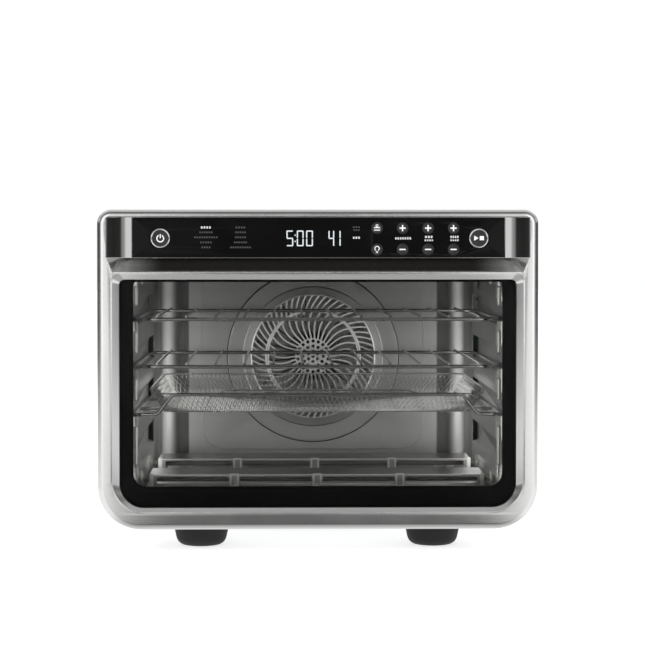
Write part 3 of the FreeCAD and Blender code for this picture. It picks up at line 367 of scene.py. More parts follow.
def wall_steel(colour):
    """Coated steel of the cavity: darker towards the ceiling, with a painted highlight stripe down each
    rounded rear corner, a painted shade stripe beside it, and painted light on the sides and mouth."""
    material = metal("cavity_enamel", colour, 0.34, (500, 500, 500), 0.10, 0.010, 0.06)
    graph, base, clean, (x, y, z) = opened(material)
    # The walls grow darker towards the ceiling.
    ceiling_darkening = graph.spread(z, 0.15, 0.265, 1.0, 0.5, smooth=True)
    aside = graph.math("ABSOLUTE", x)
    # Painted shade: a dark stripe beside each rounded rear corner.
    dark = graph.math("MULTIPLY", graph.spread(aside, 0.1415, 0.1430, 0.0, 1.0),
                      graph.spread(aside, 0.154, 0.161, 1.0, 0.0, smooth=True))
    # Painted highlight: a bright stripe down each rounded rear corner, standing for its reflection.
    bright = graph.math("MULTIPLY", graph.spread(aside, 0.156, 0.165, 0.0, 1.0, smooth=True),
                        graph.spread(aside, 0.1700, 0.1738, 1.0, 0.0, smooth=True))
    painted_corner_stripes = graph.math("ADD", graph.math("MULTIPLY", dark, -0.66), graph.math("MULTIPLY", bright, 0.95))
    rear = graph.spread(y, 0.09, 0.10, 0.0, 1.0)
    # Painted highlight on the side walls near the cavity's mouth.
    mouth = graph.math("MULTIPLY", graph.spread(y, -0.160, -0.172, 0.0, 1.0),
                       graph.spread(aside, 0.160, 0.165, 0.0, 0.9))
    # Painted light: the side walls made brighter than the rear wall.
    sides = graph.spread(aside, 0.1738, 0.1745, 1.0, 1.3)
    tone = graph.math("MULTIPLY", ceiling_darkening, graph.math("ADD", graph.math("MULTIPLY", painted_corner_stripes, rear), sides))
    tone = graph.math("ADD", tone, mouth)
    toned = graph.add("ShaderNodeVectorMath", {0: clean}, operation="SCALE")
    graph.put(toned.inputs["Scale"], tone)
    graph.put(base, toned.outputs[0])
    return material


def guard_steel(stretch, tint):
    """Steel of the heater guards, with painted shade darkening its top faces."""
    material = metal("guard_steel", (0.44, 0.44, 0.43, 1), 0.3, stretch, 0.10, 0.010, 0.06, tint)
    graph, base, clean, (x, y, z) = opened(material)
    top = GUARD_TOP * MM
    # Painted shade: the top faces take a dark colour.
    painted_top_shade = graph.spread(z, top - 0.0004, top - 0.0002, 0.0, 0.8)
    graph.put(base, graph.blend(painted_top_shade, clean, (0.10, 0.095, 0.09, 1)))
    return material


def glowing(name, colour, strength):
    """Lit segment behind the control glass, a little uneven."""
    material, graph = new_material(name)
    grain = placed_group(graph, "Moulded Grain", {"Size": 700.0})["Speckle"]
    colour_out = graph.blend(grain, shade(colour, 0.86), colour)
    body = graph.add("ShaderNodeBsdfPrincipled", {"Base Color": (0.05, 0.05, 0.05, 1), "Roughness": 0.3,
                                                  "Emission Color": colour_out,
                                                  "Emission Strength": strength})
    graph.add("ShaderNodeOutputMaterial", {"Surface": body.outputs[0]})
    return material


def make_materials():
    finish = bpy.context.scene.oven_finish
    GROUPS.update({"Brush Lines": brush_lines_group(), "Handling Marks": handling_group(),
                   "Moulded Grain": grain_group(), "Heat Tint": heat_group()})
    along_x, along_y = (9, 1800, 2400), (1800, 9, 2400)
    brown = ((0.30, 0.23, 0.16, 1), 0.35)
    metal("door_steel", tuple(finish.door_steel), 0.2, along_x, 0.06, 0.010, 0.03)
    scoop_steel(tuple(finish.door_steel), along_x)
    metal("handle_steel", tuple(finish.handle_steel), 0.12, (1500, 1500, 9), 0.08, 0.005, 0.02)
    metal("ring_steel", (0.82, 0.82, 0.82, 1), 0.16, (600, 600, 600), 0.05, 0.002, 0.02)
    metal("case_steel", tuple(finish.case_steel), 0.34, along_y, 0.10, 0.012, 0.06)
    metal("galvanised", (0.52, 0.53, 0.54, 1), 0.42, (60, 60, 60), 0.16, 0.010, 0.08)
    metal("frame_steel", (0.82, 0.82, 0.81, 1), 0.28, along_x, 0.06, 0.010, 0.04)
    wall_steel(tuple(finish.cavity_grey))
    guard_steel(along_x, (brown[0], 0.12))
    metal("grille_steel", (0.84, 0.84, 0.83, 1), 0.32, (400, 400, 400), 0.08, 0.008, 0.04)
    metal("wire_chrome", (0.42, 0.42, 0.42, 1), 0.12, (500, 500, 500), 0.05, 0.004, 0.03)
    metal("mesh_steel", (0.70, 0.70, 0.69, 1), 0.24, (700, 700, 700), 0.10, 0.004, 0.04)
    metal("clip_steel", (0.86, 0.86, 0.85, 1), 0.3, (500, 500, 500), 0.05, 0.004, 0.03)
    metal("tray_steel", (0.52, 0.52, 0.52, 1), 0.42, along_x, 0.08, 0.008, 0.06)
    moulded("heater_rod", (0.42, 0.41, 0.39, 1), 0.5, 900.0, 0.03, 0.2, metallic=0.3)
    metal("screw_steel", (0.62, 0.62, 0.61, 1), 0.24, (900, 900, 900), 0.08, 0.006, 0.05)
    metal("lamp_metal", (0.78, 0.78, 0.77, 1), 0.26, (300, 300, 300), 0.08, 0.006, 0.04)
    metal("fan_aluminium", (0.30, 0.30, 0.30, 1), 0.36, (300, 300, 300), 0.10, 0.008, 0.05)
    metal("motor_iron", (0.16, 0.16, 0.17, 1), 0.5, (1500, 30, 1500), 0.25, 0.05, 0.06)
    moulded("foot_rubber", tuple(finish.foot_black), 0.55, 1400.0, 0.03, 0.15, shine=0.35)
    moulded("inlet_plastic", (0.03, 0.03, 0.03, 1), 0.5)
    moulded("button_black", (0.012, 0.012, 0.012, 1), 0.3, 2400.0, 0.006)
    moulded("control_black", tuple(finish.panel_black), 0.07, 2500.0, 0.0008, 0.05, shine=0.1)
    moulded("black_print", (0.004, 0.004, 0.004, 1), 0.12, 2500.0, 0.001, 0.05, shine=0.06)
    moulded("component_black", (0.03, 0.03, 0.03, 1), 0.5)
    moulded("circuit_board", (0.02, 0.13, 0.06, 1), 0.35, 900.0, 0.02, 0.2)
    moulded("ceramic", (0.82, 0.80, 0.75, 1), 0.3, 500.0, 0.02, 0.05, coat=0.5)
    moulded("mineral_wool", (0.66, 0.60, 0.42, 1), 0.95, 420.0, 1.2, 0.3)
    moulded("print_white", (0.62, 0.62, 0.62, 1), 0.5, 2000.0, 0.002, 0.05)
    moulded("print_grey", (0.055, 0.055, 0.055, 1), 0.5, 2000.0, 0.002, 0.05)
    moulded("icon_white", (0.86, 0.86, 0.86, 1), 0.45, 2000.0, 0.002, 0.05)
    clear_glass("window_glass", (0.975, 0.975, 0.97, 1), 0.02, 0.002)
    clear_glass("lamp_glass", (0.95, 0.95, 0.93, 1), 0.05, 0.05)
    glowing("digit_light", tuple(finish.digit_white), 0.95)


# ------------------------------------------------------------------ mesh helpers, in millimetres


class Shell:
    """A mesh made of rings of points joined by strips."""

    def __init__(self):
        self.mesh = bmesh.new()

    def ring(self, points):
        return [self.mesh.verts.new(point) for point in points]

    def strip(self, first, second, material=0, closed=True):
        count = len(first)
        for index in range(count if closed else count - 1):
            after = (index + 1) % count
            face = self.mesh.faces.new((first[index], first[after], second[after], second[index]))
            face.material_index = material

    def skin(self, rings, material=0, wrap=False):
        made = [self.ring(points) for points in rings]
        for first, second in zip(made, made[1:]):
            self.strip(first, second, material)
        if wrap:
            self.strip(made[-1], made[0], material)
        return made

    def cap(self, loops, facing, material=0):
        """Flat face inside the first loop and outside the others."""
        corners = [corner for loop in loops for corner in loop]
        for indices in tessellate_polygon([[corner.co for corner in loop] for loop in loops]):
            face = self.mesh.faces.new([corners[index] for index in indices])
            face.normal_update()
            if face.normal.dot(Vector(facing)) < 0:
                face.normal_flip()
            face.material_index = material

    def block(self, x, y, z, material=0):
        """Box with its sides at the given pairs."""
        loop = [(x[0], y[0]), (x[1], y[0]), (x[1], y[1]), (x[0], y[1])]
        low, high = self.skin([[(px, py, height) for px, py in loop] for height in z], material)
        self.cap([low], (0, 0, -1), material)
        self.cap([high], (0, 0, 1), material)

    def plate(self, outline, y, material=0):
        """Flat shape in the front view, between two depths."""
        back, front = self.skin([[(px, depth, pz) for px, pz in outline] for depth in (y[1], y[0])], material)
        self.cap([front], (0, -1, 0), material)
        self.cap([back], (0, 1, 0), material)

    def turned(self, profile, centre, axis, steps=40, material=0, materials=None):
        """Closed profile of (radius, height) pairs spun round an axis; a zero radius closes a pole."""
        rings = []
        for radius, height in profile:
            points = []
            for step in range(1 if radius == 0 else steps):
                turn = math.tau * step / steps
                across, up = radius * math.cos(turn), radius * math.sin(turn)
                points.append({"z": (centre[0] + across, centre[1] + up, centre[2] + height),
                               "y": (centre[0] + across, centre[1] + height, centre[2] + up),
                               "x": (centre[0] + height, centre[1] + across, centre[2] + up)}[axis])
            rings.append(self.ring(points))
        faces = []
        for number, (first, second) in enumerate(zip(rings, rings[1:])):
            for step in range(steps):
                after = (step + 1) % steps
                loop = [first[step % len(first)], first[after % len(first)],
                        second[after % len(second)], second[step % len(second)]]
                loop = [corner for place, corner in enumerate(loop) if corner not in loop[:place]]
                if len(loop) > 2:
                    face = self.mesh.faces.new(loop)
                    face.material_index = materials[number] if materials else material
                    faces.append(face)
        bmesh.ops.recalc_face_normals(self.mesh, faces=faces)


def arc(centre, radius, start, end, steps):
    return [(centre[0] + radius * math.cos(math.radians(start + (end - start) * step / steps)),
             centre[1] + radius * math.sin(math.radians(start + (end - start) * step / steps)))
            for step in range(steps + 1)]


def rounded(x, z, low_radius, high_radius=None, steps=12):
    """Rounded rectangle, anticlockwise, from its lower right corner."""
    high_radius = low_radius if high_radius is None else high_radius
    return (arc((x[1] - low_radius, z[0] + low_radius), low_radius, -90, 0, steps)
            + arc((x[1] - high_radius, z[1] - high_radius), high_radius, 0, 90, steps)
            + arc((x[0] + high_radius, z[1] - high_radius), high_radius, 90, 180, steps)
            + arc((x[0] + low_radius, z[0] + low_radius), low_radius, 180, 270, steps))


def softened(corners, radii, steps=6):
    """Polygon with each corner rounded by its own radius."""
    points = []
    count = len(corners)
    for index, corner in enumerate(corners):
        here = Vector(corner)
        before = (Vector(corners[index - 1]) - here).normalized()
        after = (Vector(corners[(index + 1) % count]) - here).normalized()
        half = before.angle(after) / 2
        reach = radii[index] / math.tan(half)
        start, end = here + before * reach, here + after * reach
        middle = here + (before + after).normalized() * (radii[index] / math.sin(half))
        first, last = start - middle, end - middle
        for step in range(steps + 1):
            direction = first.lerp(last, step / steps)
            points.append(tuple(middle + direction.normalized() * radii[index]))
    return points


def polar(radius, turn):
    return radius * math.cos(turn), radius * math.sin(turn)


def at_depth(outline, y):
    return [(x, y, z) for x, z in outline]


def at_height(outline, z):
    return [(x, y, z) for x, y in outline]


def finish_mesh(name, mesh, materials, body, replaced=(), angle=38):
    """Makes the piece, gives it its materials and ties it to its body."""
    places = [polygon.material_index if len(materials) > 1 else 0 for polygon in mesh.polygons]
    mesh.materials.clear()
    for material in materials:
        mesh.materials.append(MATERIALS[material])
    mesh.polygons.foreach_set("material_index", places)
    mesh.shade_smooth()
    mesh.set_sharp_from_angle(angle=math.radians(angle))
    piece = bpy.data.objects.new(name, mesh)
    bpy.context.scene.collection.objects.link(piece)
    shading = piece.modifiers.new("Even shading", "WEIGHTED_NORMAL")
    shading.keep_sharp = True
    shading.weight = 90
    bpy.context.view_layer.update()
    piece.data = bpy.data.meshes.new_from_object(
        piece.evaluated_get(bpy.context.evaluated_depsgraph_get()))
    piece.modifiers.clear()
    if replaced:
        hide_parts(*replaced)
    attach(piece, body)
    return piece


def plain_mesh(name, shell):
    """The shell's mesh in metres, with no materials yet."""
    bmesh.ops.scale(shell.mesh, vec=(MM, MM, MM), verts=shell.mesh.verts)
    mesh = bpy.data.meshes.new(name)
    shell.mesh.to_mesh(mesh)
    shell.mesh.free()
    return mesh


def finish_shell(name, shell, materials, body, replaced=(), angle=38):
    return finish_mesh(name, plain_mesh(name, shell), materials, body, replaced, angle)


def carved(shell, cutter):
    """Mesh of one shell with another cut out of it."""
    holders = [bpy.data.objects.new(name, plain_mesh(name, solid))
               for name, solid in (("blank", shell), ("cutter", cutter))]
    for holder in holders:
        bpy.context.scene.collection.objects.link(holder)
    carve = holders[0].modifiers.new("Carve", "BOOLEAN")
    carve.operation, carve.object, carve.solver = "DIFFERENCE", holders[1], "EXACT"
    bpy.context.view_layer.update()
    mesh = bpy.data.meshes.new_from_object(holders[0].evaluated_get(bpy.context.evaluated_depsgraph_get()))
    for holder in holders:
        bpy.data.objects.remove(holder)
    return mesh


def joined(name, meshes):
    """Several meshes in metres as one."""
    together = bmesh.new()
    for mesh in meshes:
        together.from_mesh(mesh)
    result = bpy.data.meshes.new(name)
    together.to_mesh(result)
    together.free()
    return result


def smoothed(node, material, angle=32):
    """A node's own shape with its triangles joined up and its curved faces smooth."""
    source = frame["nodes"][node]
    build = bmesh.new()
    build.from_mesh(source.data)
    bmesh.ops.remove_doubles(build, verts=build.verts, dist=1e-6)
    mesh = bpy.data.meshes.new(node + "_skin")
    build.to_mesh(mesh)
    build.free()
    for polygon in mesh.polygons:
        polygon.material_index = 0
    return finish_mesh(node + "_skin", mesh, [material], source["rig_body"], (node,), angle)


def bent(points, radius, closed=False, steps=8):
    """Route with its corners rounded."""
    route = []
    count = len(points)
    for index, point in enumerate(points):
        here = Vector(point)
        if not closed and index in (0, count - 1):
            route.append(tuple(here))
            continue
        before = (Vector(points[index - 1]) - here)
        after = (Vector(points[(index + 1) % count]) - here)
        half = before.angle(after) / 2
        if half > math.radians(89):
            route.append(tuple(here))
            continue
        size = min(radius, 0.48 * min(before.length, after.length) * math.tan(half))
        before.normalize()
        after.normalize()
        reach = size / math.tan(half)
        middle = here + (before + after).normalized() * (size / math.sin(half))
        first, last = here + before * reach - middle, here + after * reach - middle
        sweep = first.angle(last)
        for step in range(steps + 1):
            share = step / steps
            route.append(tuple(middle + (first * math.sin((1 - share) * sweep)
                                         + last * math.sin(share * sweep)) / math.sin(sweep)))
    return route


def wire(name, routes, radius, closed=False, sides=3):
    """Mesh of round wires along routes in millimetres."""
    curve = bpy.data.curves.new(name, "CURVE")
    curve.dimensions = "3D"
    curve.bevel_depth = radius * MM
    curve.bevel_resolution = sides
    curve.use_fill_caps = not closed
    for route in routes:
        spline = curve.splines.new("POLY")
        spline.points.add(len(route) - 1)
        for point, place in zip(spline.points, route):
            point.co = (place[0] * MM, place[1] * MM, place[2] * MM, 1)
        spline.use_cyclic_u = closed
    holder = bpy.data.objects.new(name, curve)
    bpy.context.scene.collection.objects.link(holder)
    bpy.context.view_layer.update()
    mesh = bpy.data.meshes.new_from_object(holder.evaluated_get(bpy.context.evaluated_depsgraph_get()))
    bpy.data.objects.remove(holder)
    build = bmesh.new()
    build.from_mesh(mesh)
    bmesh.ops.remove_doubles(build, verts=build.verts, dist=1e-7)
    bmesh.ops.recalc_face_normals(build, faces=build.faces)
    build.to_mesh(mesh)
    build.free()
    return mesh


# ------------------------------------------------------------------ geometry node trees


def geometry_tree(name, inputs):
    """An empty geometry tree with named inputs, and its graph, input node and output node."""
    tree = bpy.data.node_groups.new(name, "GeometryNodeTree")
    for label, kind, value in inputs:
        socket = tree.interface.new_socket(label, in_out="INPUT", socket_type=kind)
        if value is not None:
            socket.default_value = value
    tree.interface.new_socket("Geometry", in_out="OUTPUT", socket_type="NodeSocketGeometry")
    graph = Graph(tree)
    return tree, graph, graph.add("NodeGroupInput"), graph.add("NodeGroupOutput")


def wire_row_tree():
    """A row of straight round wires that run front to back, one pitch apart across the oven."""
    tree, graph, given, out = geometry_tree("Wire Row", [
        ("Count", "NodeSocketInt", 12), ("Pitch", "NodeSocketFloat", 0.03),
        ("Radius", "NodeSocketFloat", 0.0015), ("Start", "NodeSocketVector", (0, 0, 0)),
        ("Length", "NodeSocketFloat", 0.3), ("Material", "NodeSocketMaterial", None)])
    reach = graph.add("ShaderNodeCombineXYZ", {"Y": given.outputs["Length"]})
    line = graph.add("GeometryNodeCurvePrimitiveLine", {"End": reach.outputs[0]})
    ring = graph.add("GeometryNodeCurvePrimitiveCircle", {"Resolution": 12,
                                                          "Radius": given.outputs["Radius"]})
    rod = graph.add("GeometryNodeCurveToMesh", {"Curve": line.outputs[0], "Profile Curve": ring.outputs[0],
                                                "Fill Caps": True})
    step = graph.add("ShaderNodeCombineXYZ", {"X": given.outputs["Pitch"]})
    places = graph.add("GeometryNodeMeshLine", {"Count": given.outputs["Count"],
                                                "Start Location": given.outputs["Start"],
                                                "Offset": step.outputs[0]})
    row = graph.add("GeometryNodeInstanceOnPoints", {"Points": places.outputs[0], "Instance": rod.outputs[0]})
    real = graph.add("GeometryNodeRealizeInstances", {0: row.outputs[0]})
    done = graph.add("GeometryNodeSetMaterial", {"Geometry": real.outputs[0],
                                                 "Material": given.outputs["Material"]})
    graph.put(out.inputs["Geometry"], done.outputs[0])
    return tree


def strand_net_tree():
    """Turns every edge of a net into a flat four-sided strand."""
    tree, graph, given, out = geometry_tree("Strand Net", [
        ("Net", "NodeSocketGeometry", None), ("Half Width", "NodeSocketFloat", 0.0004),
        ("Material", "NodeSocketMaterial", None)])
    curves = graph.add("GeometryNodeMeshToCurve", {"Mesh": given.outputs["Net"]})
    section = graph.add("GeometryNodeCurvePrimitiveCircle", {"Resolution": 4,
                                                             "Radius": given.outputs["Half Width"]})
    strands = graph.add("GeometryNodeCurveToMesh", {"Curve": curves.outputs[0],
                                                    "Profile Curve": section.outputs[0], "Fill Caps": True})
    real = graph.add("GeometryNodeRealizeInstances", {0: strands.outputs[0]})
    done = graph.add("GeometryNodeSetMaterial", {"Geometry": real.outputs[0],
                                                 "Material": given.outputs["Material"]})
    graph.put(out.inputs["Geometry"], done.outputs[0])
    return tree


def around_fan_tree():
    """Repeats the given shape round the fan's axis."""
    tree, graph, given, out = geometry_tree("Around Fan", [
        ("Shape", "NodeSocketGeometry", None), ("Count", "NodeSocketInt", 36),
        ("Centre", "NodeSocketVector", (0, 0, 0)), ("Material", "NodeSocketMaterial", None)])
    places = graph.add("GeometryNodeMeshLine", {"Count": given.outputs["Count"], "Offset": (0, 0, 0)})
    index = graph.add("GeometryNodeInputIndex")
    turn = graph.math("MULTIPLY", graph.math("DIVIDE", index.outputs[0], given.outputs["Count"]), math.tau)
    turns = graph.add("ShaderNodeCombineXYZ", {"Y": turn})
    wheel = graph.add("GeometryNodeInstanceOnPoints", {"Points": places.outputs[0],
                                                       "Instance": given.outputs["Shape"],
                                                       "Rotation": turns.outputs[0]})
    moved = graph.add("GeometryNodeTransform", {"Geometry": wheel.outputs[0],
                                                "Translation": given.outputs["Centre"]})
    real = graph.add("GeometryNodeRealizeInstances", {0: moved.outputs[0]})
    done = graph.add("GeometryNodeSetMaterial", {"Geometry": real.outputs[0],
                                                 "Material": given.outputs["Material"]})
    graph.put(out.inputs["Geometry"], done.outputs[0])
    return tree


TREES = {}


def grown(tree_name, values, base=None):
    """Mesh that a geometry tree makes from its named values, starting from a base mesh."""
    if tree_name not in TREES:
        TREES[tree_name] = {"Wire Row": wire_row_tree, "Strand Net": strand_net_tree,
                            "Around Fan": around_fan_tree}[tree_name]()
    tree = TREES[tree_name]
    holder = bpy.data.objects.new(tree_name, base or bpy.data.meshes.new(tree_name))
    bpy.context.scene.collection.objects.link(holder)
    modifier = holder.modifiers.new(tree_name, "NODES")
    modifier.node_group = tree
    for item in tree.interface.items_tree:
        if item.in_out == "INPUT" and item.name in values:
            modifier[item.identifier] = values[item.name]
    bpy.context.view_layer.update()
    mesh = bpy.data.meshes.new_from_object(holder.evaluated_get(bpy.context.evaluated_depsgraph_get()))
    holder.modifiers.remove(modifier)
    bpy.data.objects.remove(holder)
    return mesh


# ------------------------------------------------------------------ door


FRONT = DOOR_LOW.y
HINGE_SIDE = 160.0
DOOR_X = (DOOR_LOW.x, DOOR_HIGH.x)
DOOR_Z = (DOOR_LOW.z, DOOR_HIGH.z)
STEP_X, STEP_Z = (GLASS_LOW.x - 8.2, GLASS_HIGH.x + 8.2), (GLASS_LOW.z - 5.4, GLASS_HIGH.z + 6.4)


def door_ring(inset, y):
    return at_depth(rounded((DOOR_X[0] + inset, DOOR_X[1] - inset), (DOOR_Z[0] + inset, DOOR_Z[1] - inset),
                            43 - inset, max(14 - inset, 2.5), 14), y)


def window_ring(inset, share, y):
    """Ring between the step round the window, share 0, and the glass's edge, share 1."""
    def mix(a, b):
        return a + (b - a) * share
    low = mix(STEP_Z[0], GLASS_LOW.z - 0.3)
    high = mix(STEP_Z[1], GLASS_HIGH.z + 0.3)
    half = mix(STEP_X[1], GLASS_HIGH.x + 0.3)
    return at_depth(rounded((-half + inset, half - inset), (low + inset, high - inset),
                            mix(33, 24) - inset, mix(10, 5) - inset, 14), y)


def scoop_ring(low, bottom, top, shoulder, high, depth, corner):
    """Ring of the scoop, straight-sided up to its shoulder: half widths bottom and top, the rest heights."""
    corners = [(bottom, low), (top, shoulder), (top, high), (-top, high), (-top, shoulder), (-bottom, low)]
    return at_depth(softened(corners, [corner, corner, 3, 3, corner, corner], 7), FRONT + depth)


class OVEN_OT_door_frame(bpy.types.Operator):
    """Builds the pressed door with its rolled edge, window step, finger scoop and hinge slots"""
    bl_idname = "oven.door_frame"
    bl_label = "Door frame"

    def execute(self, context):
        sizes = context.scene.oven_door
        shell = Shell()
        roll, drop = sizes.edge_roll / MM, sizes.edge_drop / MM
        outer = [door_ring(1.2, DOOR_HIGH.y), door_ring(0, DOOR_HIGH.y)]
        outer += [door_ring(roll * (1 - math.cos(math.radians(turn))) ** 1.1,
                            FRONT + drop * (1 - math.sin(math.radians(turn))))
                  for turn in range(0, 91, 9)]
        made = shell.skin(outer)
        sheet = 12
        window = ((-0.35, 0, 0), (-0.1, 0, 0.12), (0, 0, 0.4), (0.05, 0, 2.2), (0.75, 0, 2.3),
                  (0.95, 0, 1.5), (1.2, 0, 1.52), (0, 0.94, 4.75), (0, 1, 5.1), (0, 1, sheet))
        inside = shell.skin([window_ring(inset, share, FRONT + depth) for inset, share, depth in window])
        deep = sizes.scoop_depth / MM
        scoop = ((277.7, 202.6, 207.4, 290.6, 332.4, 0, 1.2), (278.1, 202.2, 207.0, 290.8, 332.2, 0.2, 1.5),
                 (279.2, 201.2, 206.2, 291.2, 331.8, 0.9, 2.2), (281.6, 199.2, 204.6, 292.0, 331.0, 2.3, 4),
                 (285.2, 196.0, 201.6, 293.4, 330.0, 4.3, 7),
                 (288.8, 190.5, 196.6, 296.0, 328.6, deep * 0.69, 11),
                 (293.6, 182.5, 189.0, 300.0, 327.0, deep * 0.88, 14),
                 (299.6, 172.0, 179.0, 306.0, 325.0, deep * 0.98, 16))
        hollow = shell.skin([scoop_ring(*level) for level in scoop], 1)
        shell.cap([hollow[-1]], (0, -1, 0), 1)
        shell.cap([made[-1], inside[0], hollow[0]], (0, -1, 0))
        back = shell.ring(door_ring(1.2, FRONT + sheet))
        shell.strip(back, made[0])
        shell.cap([back, inside[-1]], (0, 1, 0))
        slots = Shell()
        for side in (-1, 1):
            slots.block((side * HINGE_SIDE - 3.5, side * HINGE_SIDE + 3.5), (FRONT + 8, DOOR_HIGH.y + 1),
                        (DOOR_Z[0] - 2, DOOR_Z[0] + 4))
        finish_mesh("door_skin", carved(shell, slots), ["door_steel", "scoop_steel"], "door",
                    ("door_frame",), 34)
        return {"FINISHED"}


class OVEN_OT_door_glass(bpy.types.Operator):
    """Finishes the two door glasses, the black border and the door's steel back"""
    bl_idname = "oven.door_glass"
    bl_label = "Door glass"

    def execute(self, context):
        smoothed("door_glass", "window_glass")
        smoothed("inner_glass", "window_glass")
        smoothed("glass_border", "black_print")
        smoothed("door_inner_frame", "galvanised")
        smoothed("hinge_arms", "galvanised")
        smoothed("hinge_pins", "screw_steel")
        return {"FINISHED"}


class OVEN_OT_handle(bpy.types.Operator):
    """Builds the handle with its quarter-round ends, its trough and the control glass"""
    bl_idname = "oven.handle"
    bl_label = "Handle"

    def execute(self, context):
        soft = context.scene.oven_door.handle_edge / MM
        x, front, z = HANDLE_HIGH.x, HANDLE_LOW.y, (HANDLE_LOW.z, HANDLE_HIGH.z)
        seat = PANEL_HIGH.y
        edge = PANEL_HIGH.x + 0.35
        centre, root = (edge + 0.4, front + 28.3), FRONT + 11

        def plan(inset):
            radius, wall = x - centre[0] - inset, 14 - inset
            outer = [(x - inset, root), (x - inset, (root + centre[1]) / 2)]
            right = outer + arc(centre, radius, 0, -90, 22) + [(edge, front + 0.35 + inset),
                                                               (edge, seat + inset)]
            inner = arc(centre, x - centre[0] - wall, -90, 0, 14) + [(x - wall, root)]
            return loop_of(right, inner)

        def loop_of(right, inner):
            mirror = [(-px, py) for px, py in right]
            inner_mirror = [(-px, py) for px, py in inner]
            return mirror + right[::-1] + inner[::-1] + inner_mirror

        levels = [(z[0], soft), (z[0] + soft * 0.3, soft * 0.3), (z[0] + soft, 0),
                  (z[1] - soft, 0), (z[1] - soft * 0.3, soft * 0.3), (z[1], soft)]
        shell = Shell()
        rings = shell.skin([at_height(plan(inset), height) for height, inset in levels])
        shell.cap([rings[0]], (0, 0, -1))
        shell.cap([rings[-1]], (0, 0, 1))
        trough = Shell()
        trough.plate(rounded((-172, 172), (z[0] + 1.6, z[1] - 1.6), 2), (front - 5, front + 12))
        finish_mesh("handle_bar", carved(shell, trough), ["handle_steel"], "door",
                    ("handle_shell",), 30)
        smoothed("control_glass", "control_black", 40)
        smoothed("control_board", "circuit_board")
        smoothed("display_module", "component_black")
        return {"FINISHED"}


SEGMENTS = {"0": "abcdef", "1": "bc", "4": "bcfg", "5": "acdfg"}


def digit(shell, character, x, z, wide, tall, bar, y):
    """Seven-segment digit with its lower left corner at x, z."""
    middle, top = z + tall / 2, z + tall
    gap = bar * 0.35
    left, across, right = (x, x + bar), (x + gap, x + wide - gap), (x + wide - bar, x + wide)
    lower, upper = (z + gap, middle - gap), (middle + gap, top - gap)
    places = {"a": (across, (top - bar, top)), "g": (across, (middle - bar / 2, middle + bar / 2)),
              "d": (across, (z, z + bar)), "f": (left, upper), "b": (right, upper),
              "e": (left, lower), "c": (right, lower)}
    for name in SEGMENTS[character]:
        shell.plate(rounded(*places[name], bar * 0.3, steps=2), y)


class OVEN_OT_panel_marks(bpy.types.Operator):
    """Lays the lit digits and the plain printed marks on the control glass"""
    bl_idname = "oven.panel_marks"
    bl_label = "Panel marks"

    def execute(self, context):
        y = (PANEL_LOW.y - 0.12, PANEL_LOW.y + 0.1)
        lit = Shell()
        for character, x in (("5", -31.2), ("0", -21.2), ("0", -12.2), ("4", 9.4), ("1", 15.6)):
            digit(lit, character, x, 303.2, 6.6 if x < 0 else 5.6, 15.2, 1.15, y)
        for z in (307.2, 313.2):
            lit.plate(rounded((-23.35, -22.15), (z, z + 1.3), 0.4, steps=2), y)
        finish_shell("lit_digits", lit, ["digit_light"], "door")
        marks = Shell()
        white, grey = 0, 1
        rows = (321.3, 316.6, 311.8, 306.9, 302.1)
        for x, widths in ((-108.5, (10.4, 13.5, 23.4, 11.8, 9.4)), (-75.2, (10.2, 10.9, 11.4, 13.2, 20.6))):
            for z, wide in zip(rows, widths):
                bright = z == rows[0] and x < -100
                self.words(marks, x, z, wide, 2.1 if bright else 1.7, y, white if bright else grey)
        for x, z, wide in ((36.9, 321.6, 7.8), (36.9, 318.8, 6.6)):
            self.words(marks, x, z, wide, 1.5, y, grey)
        for x, z, wide, tall in ((36.9, 311.4, 7.6, 2.0), (82.0, 310.8, 16.2, 2.2), (107.0, 312.2, 8.2, 2.2),
                                 (107.0, 308.9, 9.0, 1.6), (131.8, 312.2, 8.6, 2.2), (131.8, 308.9, 8.8, 1.6)):
            self.words(marks, x, z, wide, tall, y, white)
        finish_shell("panel_print", marks, ["print_white", "print_grey"], "door")
        return {"FINISHED"}

    @staticmethod
    def words(shell, x, z, wide, tall, y, material):
        """Row of short plain dashes in place of a label, centred on x and z."""
        count = max(2, round(wide / 2.4))
        pitch = wide / count
        for step in range(count):
            left = x - wide / 2 + step * pitch
            shell.plate(rounded((left, left + pitch * 0.62), (z - tall / 2, z + tall / 2), 0.2, steps=2),
                        y, material)


# ------------------------------------------------------------------ buttons


def stroke(shell, points, width, y, material, closed=False):
    """Flat line of even width along points in the front view."""
    outer, inner = [], []
    count = len(points)
    for index, point in enumerate(points):
        here = Vector(point)
        before = Vector(points[index - 1]) if closed or index else here
        after = Vector(points[(index + 1) % count]) if closed or index < count - 1 else here
        along = (after - before).normalized()
        side = Vector((-along.y, along.x)) * (width / 2)
        outer.append(tuple(here - side))
        inner.append(tuple(here + side))
    if not closed:
        shell.plate(outer + inner[::-1], y, material)
        return
    rings = [shell.ring(at_depth(outline, depth))
             for outline, depth in ((outer, y[1]), (outer, y[0]), (inner, y[0]), (inner, y[1]))]
    for first, second in zip(rings, rings[1:] + rings[:1]):
        shell.strip(first, second, material)


